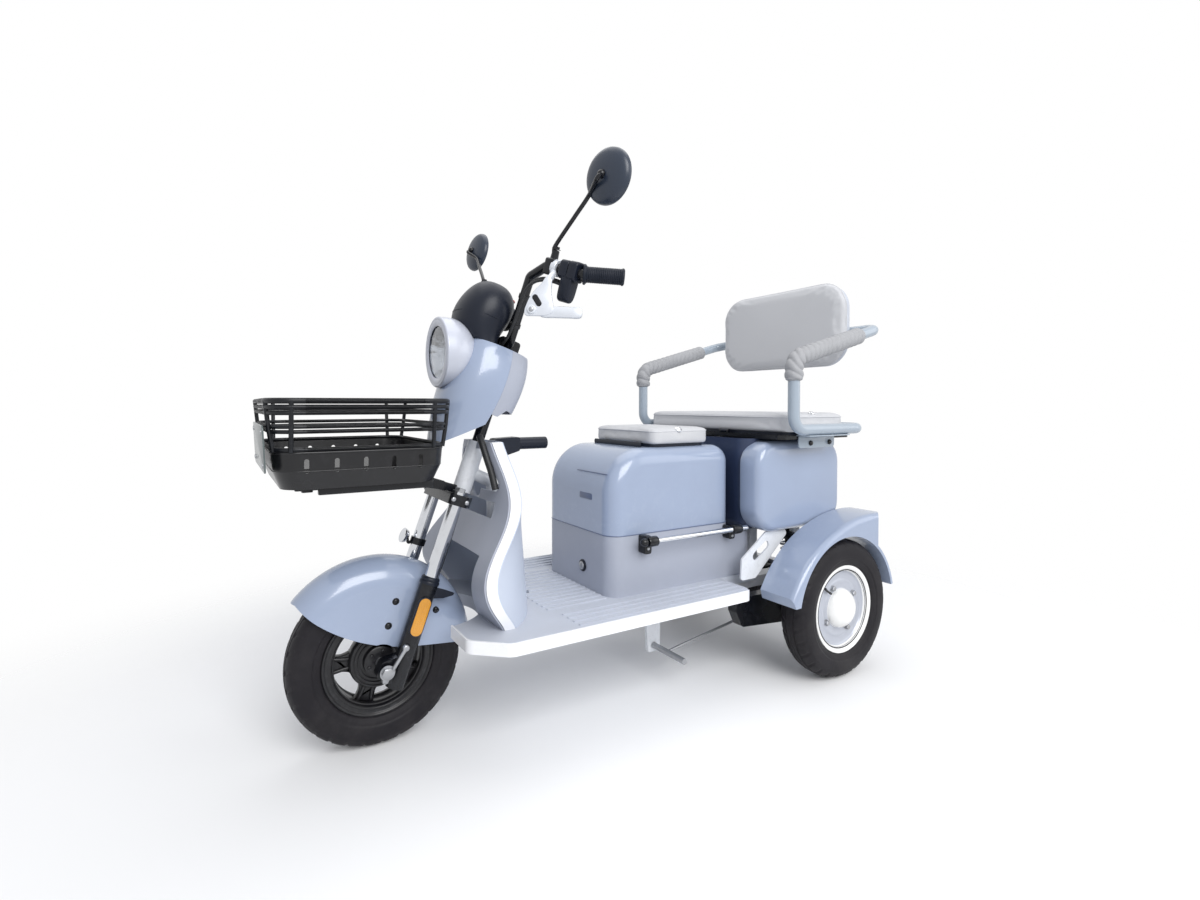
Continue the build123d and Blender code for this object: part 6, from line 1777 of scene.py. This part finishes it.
# ---------------------------------------------------------------- rear axle, shocks and lamps
@dataclass
class Running(Assembly):
    """Coil springs over the rear dampers, fins on the motor and nuts on the axle's clamps."""

    body: str = "chassis"
    axle: Point = (0.0, 561.0, 187.5)
    shock: float = 176.0

    def build(self) -> list[Piece]:
        """Builds the springs, the motor's fins and the clamps' nuts."""
        return [self.springs(), self.motor(), self.nuts()]

    def springs(self) -> Piece:
        """A damper and its coil on each side.

        The coil's middle line is q(t) = foot + run t + R (cos(2 pi n t) u + sin(2 pi n t) v).
        """
        foot = np.array([self.shock, 557.0, 220.0])
        run = np.array([self.shock, 522.5, 388.0]) - foot
        length = float(np.linalg.norm(run))
        w = run / length
        damper = pairs(-6, 0, -6, 8.5, 30, 8.5, 30, 21.5, 33, 24, 37, 24, 38, 13.5, 88, 13.5, 90, 7, 142, 7,
                       142, 22.5, 150, 22.5, 156, 12, length + 0.5, 11, length + 0.5, 0)
        shell = Shell().turned(damper, foot, w, 40, 1)
        t = np.linspace(0.0, 1.0, 230)[:, None]
        u = np.cross(w, X)
        u /= np.linalg.norm(u)
        angle = TAU * 6.5 * t
        coil = (foot + (38.5 + 100.5 * t) * w
                + 19.6 * (np.cos(angle) * u + np.sin(angle) * np.cross(w, u)))
        shell.tube(coil, 3.2, w, 10)
        shell.turned(both(8.5, 34, 10, 33, 10, 22.4), self.axle + self.shock * X, X, 48, 1, closed=True)
        return self.add(shell.mirrored(), "coil_dampers", (CHROME, BLACK_PAINT), "chrome", "rear_shocks",
                        sharp=42.0)

    def motor(self) -> Piece:
        """Cooling fins round the motor, ribs on the gear housing and a ring of cover screws."""
        shell = Shell()
        for places, fin in ((np.linspace(56.0, 90.0, 7), both(0.9, 63.4, 1.4, 59)),
                            (np.linspace(-30.0, 30.0, 3), both(1.6, 74.2, 2.2, 70.5))):
            for x in places:
                shell.turned(fin, self.axle + x * X, X, 64)
        for angle in np.arange(8) * TAU / 8 + 0.2:
            shell.bead(round_axle(self.axle, 95.5, 48.0, angle), X, 4.4, 3.6, 14, 1)
            shell.bead(round_axle(self.axle, -49.8, 58.0, angle), -X, 5.0, 4.0, 14, 1)
        return self.add(shell, "motor_fins", (CAST_BLACK, ZINC), "black_metal")

    def nuts(self) -> Piece:
        """Nuts on the fender brackets and the swing arms' clamps."""
        shell = Shell()
        for z in (213.5, 161.5):
            shell.hexagon((216.2, 587.0, z), X, 6.8, 7.0)
        return self.add(shell.mirrored(), "axle_clamp_nuts", (ZINC,), "steel", sharp=38.0)


@dataclass
class TailLamps(Assembly):
    """Red tail lamps with a pattern of prisms in dark frames."""

    body: str = "chassis"

    def build(self) -> list[Piece]:
        """Builds both lamps."""
        basis = Basis.facing((150.0, 683.2, 560.0), Y)
        shell = Shell().prisms((35.0, 25.0, 12.0, 110), basis, (9.0, 1.5), 2.8, (8.8, 6.2, 5.0), (0.5, 6.0),
                               np.linspace(1.0, 0.03, 30))
        return [self.add(shell.mirrored(), "tail_lamp_lenses", (RED_LENS, BLACK_PLASTIC), "red_lens",
                         "tail_lamps", sharp=70.0)]


FRONT_SEAT = Cushion("front_seat_cushion", "front_seat_pad", "front_seat",
                     Basis.facing((0.0, 162.5, 639.3), Z, Y), (135.5, 101.0), 41.5, 1.6, 22.0, 5.8,
                     studs=((129.0, -8.5, 37.5),))
REAR_SEAT = Cushion("rear_seat_cushion", "rear_seat_pad", "rear_seat",
                    Basis.facing((0.0, 515.0, 668.6), Z, Y), (287.5, 123.0), 50.0, 1.8, 24.0, 7.0,
                    studs=((268.0, 0.0, 48.0),))
BACKREST = Cushion("backrest_cushion", "backrest_pad", "chassis", Basis.facing((0.0, 716.0, 987.0), -Y),
                   (241.5, 129.0), 25.5, 3.0, 80.0, 15.0, seam=0.30)

ASSEMBLIES: list[Assembly] = [
    FrontWheel("front_wheel", "front_tyre", (0.0, -606.0, 187.5)),
    RearWheel("left_rear_wheel", "left_rear_tyre", (308.0, 561.0, 187.5), side=1.0),
    RearWheel("right_rear_wheel", "right_rear_tyre", (-308.0, 561.0, 187.5), side=-1.0),
    Grips(), Controls(), Mirrors(), Headlight(), Dashboard(), Basket(), Fork(), Boxes(), Running(),
    TailLamps(), FRONT_SEAT, REAR_SEAT, BACKREST, Sleeves(), Armrest(),
]


# ---------------------------------------------------------------- stage
@dataclass
class Stage:
    """The pale floor, the soft lights and the camera, all in metres and degrees."""

    eye: Point = (1.3264, -0.9076, 0.7434)
    heading: float = 59.7
    pitch: float = 0.9
    focal: float = 17.7
    shift: tuple[float, float] = (0.0325, -0.0303)
    half_floor: float = 14.0
    fade_from: float = 0.75
    fade_to: float = 1.75
    aim: Point = (0.0, 0.0, 0.45)
    ambient: float = 0.54
    gloss_share: float = 0.75

    def build(self) -> None:
        """Makes the floor, the backdrop light, the lamps and the camera."""
        self.floor()
        self.world()
        for name, place, size, power in (("key_light", (3.3, -0.5, 2.7), 2.4, 114.0),
                                         ("fill_light", (2.4, 2.8, 2.0), 2.6, 26.0),
                                         ("top_light", (-0.5, 0.3, 3.5), 3.0, 34.0)):
            self.lamp(name, place, size, power)
        self.camera()

    def linked(self, name: str, data: bpy.types.ID) -> Piece:
        """Makes an object of some data and links it to the scene."""
        made = bpy.data.objects.new(name, data)
        bpy.context.collection.objects.link(made)
        return made

    def floor(self) -> None:
        """A wide plain floor that shows white where nothing shades it."""
        h = self.half_floor
        mesh = bpy.data.meshes.new("studio_floor")
        mesh.from_pydata([(-h, -h, 0), (h, -h, 0), (h, h, 0), (-h, h, 0)], [], [(0, 1, 2, 3)])
        floor = self.linked("studio_floor", mesh)
        made = bpy.data.materials.new("floor_paper")
        made.use_nodes = True
        net = Net(made.node_tree)
        noise = net.node("TexNoise", Vector=net.place(), Scale=2.0, Detail=2.0)
        colour = net.blend(noise.outputs["Fac"], linear(252, 252, 252), linear(249, 249, 249))
        shader = net.dress(made.node_tree.nodes["Principled BSDF"], Roughness=0.9,
                           Specular_IOR_Level=0.1, Base_Color=colour)
        self.fade(net, shader)
        mesh.materials.append(made)

    def fade(self, net: Net, shader: bpy.types.Node) -> None:
        """Lets the floor fade out to the backdrop, in an oval round the vehicle's middle."""
        oval = net.node("Mapping", Vector=net.place(), Scale=(1.0, 0.82, 1.0))
        length = net.node("VectorMath", oval.outputs["Vector"], operation="LENGTH")
        share = net.ramp(length.outputs["Value"], self.fade_from, self.fade_to)
        mixed = net.mix_shaders(share, shader, net.node("BsdfTransparent"))
        net.feed(net.tree.nodes["Material Output"].inputs["Surface"], mixed)

    def world(self) -> None:
        """A plain white surround to the eye, and a softer one to the object."""
        world = bpy.context.scene.world or bpy.data.worlds.new("studio")
        bpy.context.scene.world = world
        world.use_nodes = True
        net = Net(world.node_tree)
        net.tree.nodes.clear()
        light = net.node("Background", Color=(0.93, 0.95, 1.0, 1.0), Strength=self.ambient)
        seen = net.node("Background", Color=(1.0, 1.0, 1.0, 1.0), Strength=1.0)
        ray = net.node("LightPath").outputs
        glossy = net.math("MULTIPLY", ray["Is Glossy Ray"], self.gloss_share)
        share = net.math("MAXIMUM", ray["Is Camera Ray"], glossy)
        share = net.math("MAXIMUM", share, ray["Is Transmission Ray"])
        net.node("OutputWorld", net.mix_shaders(share, light, seen))

    def lamp(self, name: str, place: Point, size: float, power: float) -> None:
        """A square soft light at a place, turned to the vehicle's middle."""
        light = bpy.data.lights.new(name, "AREA")
        light.size = size
        light.energy = power
        made = self.linked(name, light)
        made.location = place
        made.rotation_euler = (Vector(self.aim) - Vector(place)).to_track_quat("-Z", "Y").to_euler()

    def camera(self) -> None:
        """The camera, level but for a slight downward pitch."""
        turn, down = math.radians(self.heading), math.radians(self.pitch)
        right = Vector((math.cos(turn), math.sin(turn), 0.0))
        look = Vector((-math.sin(turn) * math.cos(down), math.cos(turn) * math.cos(down), -math.sin(down)))
        axes = Matrix((right, right.cross(look), -look)).transposed()
        data = bpy.data.cameras.new("camera")
        data.sensor_width = 36.0
        data.lens = self.focal
        data.shift_x, data.shift_y = self.shift
        data.clip_start, data.clip_end = 0.02, 60.0
        made = self.linked("camera", data)
        made.matrix_world = Matrix.Translation(self.eye) @ axes.to_4x4()
        bpy.context.scene.camera = made
        bpy.context.scene.view_settings.view_transform = "Standard"


# ---------------------------------------------------------------- finishes of the frame's own nodes
NODE_FINISHES: dict[str, Finish] = {name: finish for finish, names in (
    (BLACK_PAINT, "steering_stem fork_sliders handlebar basket_bracket seat_deck swing_arms"),
    (CHROME, "fork_tubes foot_bars"),
    (ZINC, "front_axle rear_shocks brake_rod"),
    (PANEL_BLUE, "front_fender front_cover battery_cover rear_box rear_fenders"),
    (PLASTIC_GREY, "column_cover leg_shield battery_box"),
    (PAINT_WHITE, "frame head_tube frame_lug fender_brackets"),
    (TRIM_WHITE, "floor_trim shield_trim"),
    (FLOOR_GREY, "floor_board"),
    (INNER_GREY_PAINTED_LIGHT, "shield_back"),
    (LAMP_SILVER, "headlight_bowl"),
    (LENS_CLEAR, "headlight_lens"),
    (GRIP_RUBBER, "grips"),
    (LEVER_ALLOY, "brake_levers"),
    (MIRROR_SHELL, "mirrors"),
    (WIRE_COAT, "basket_frame"),
    (TUB_BLACK, "basket_tub"),
    (AMBER, "fork_reflectors"),
    (RED_LENS, "tail_lamps"),
    (TYRE_RUBBER, "front_tyre left_rear_tyre right_rear_tyre"),
    (CAST_BLACK, "front_rim rear_axle"),
    (WHITE_ENAMEL, "left_rear_rim right_rear_rim"),
    (SEAT_VINYL, "front_seat_pad rear_seat_pad backrest_pad"),
    (BACK_SHELL, "backrest_shell"),
    (ARM_PAINT, "armrest_frame"),
    (SLEEVE_FOAM, "armrest_sleeves"),
) for name in names.split()}


def dress_nodes() -> None:
    """Gives each of the frame's own nodes its finish in place of the one it was packed with."""
    for name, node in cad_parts.items():
        finish = NODE_FINISHES.get(name, BLACK_PLASTIC)
        node.data.materials.clear()
        node.data.materials.append(finish.material())


def main() -> None:
    """Builds every sub-assembly in order and reports it."""
    logging.basicConfig(level=logging.INFO, format="%(name)s: %(message)s")
    Stage().build()
    dress_nodes()
    for part in ASSEMBLIES:
        for piece in part.build():
            LOG.info("%s: %s, %d faces", type(part).__name__, piece.name, len(piece.data.polygons))


if __name__ == "__main__":
    main()
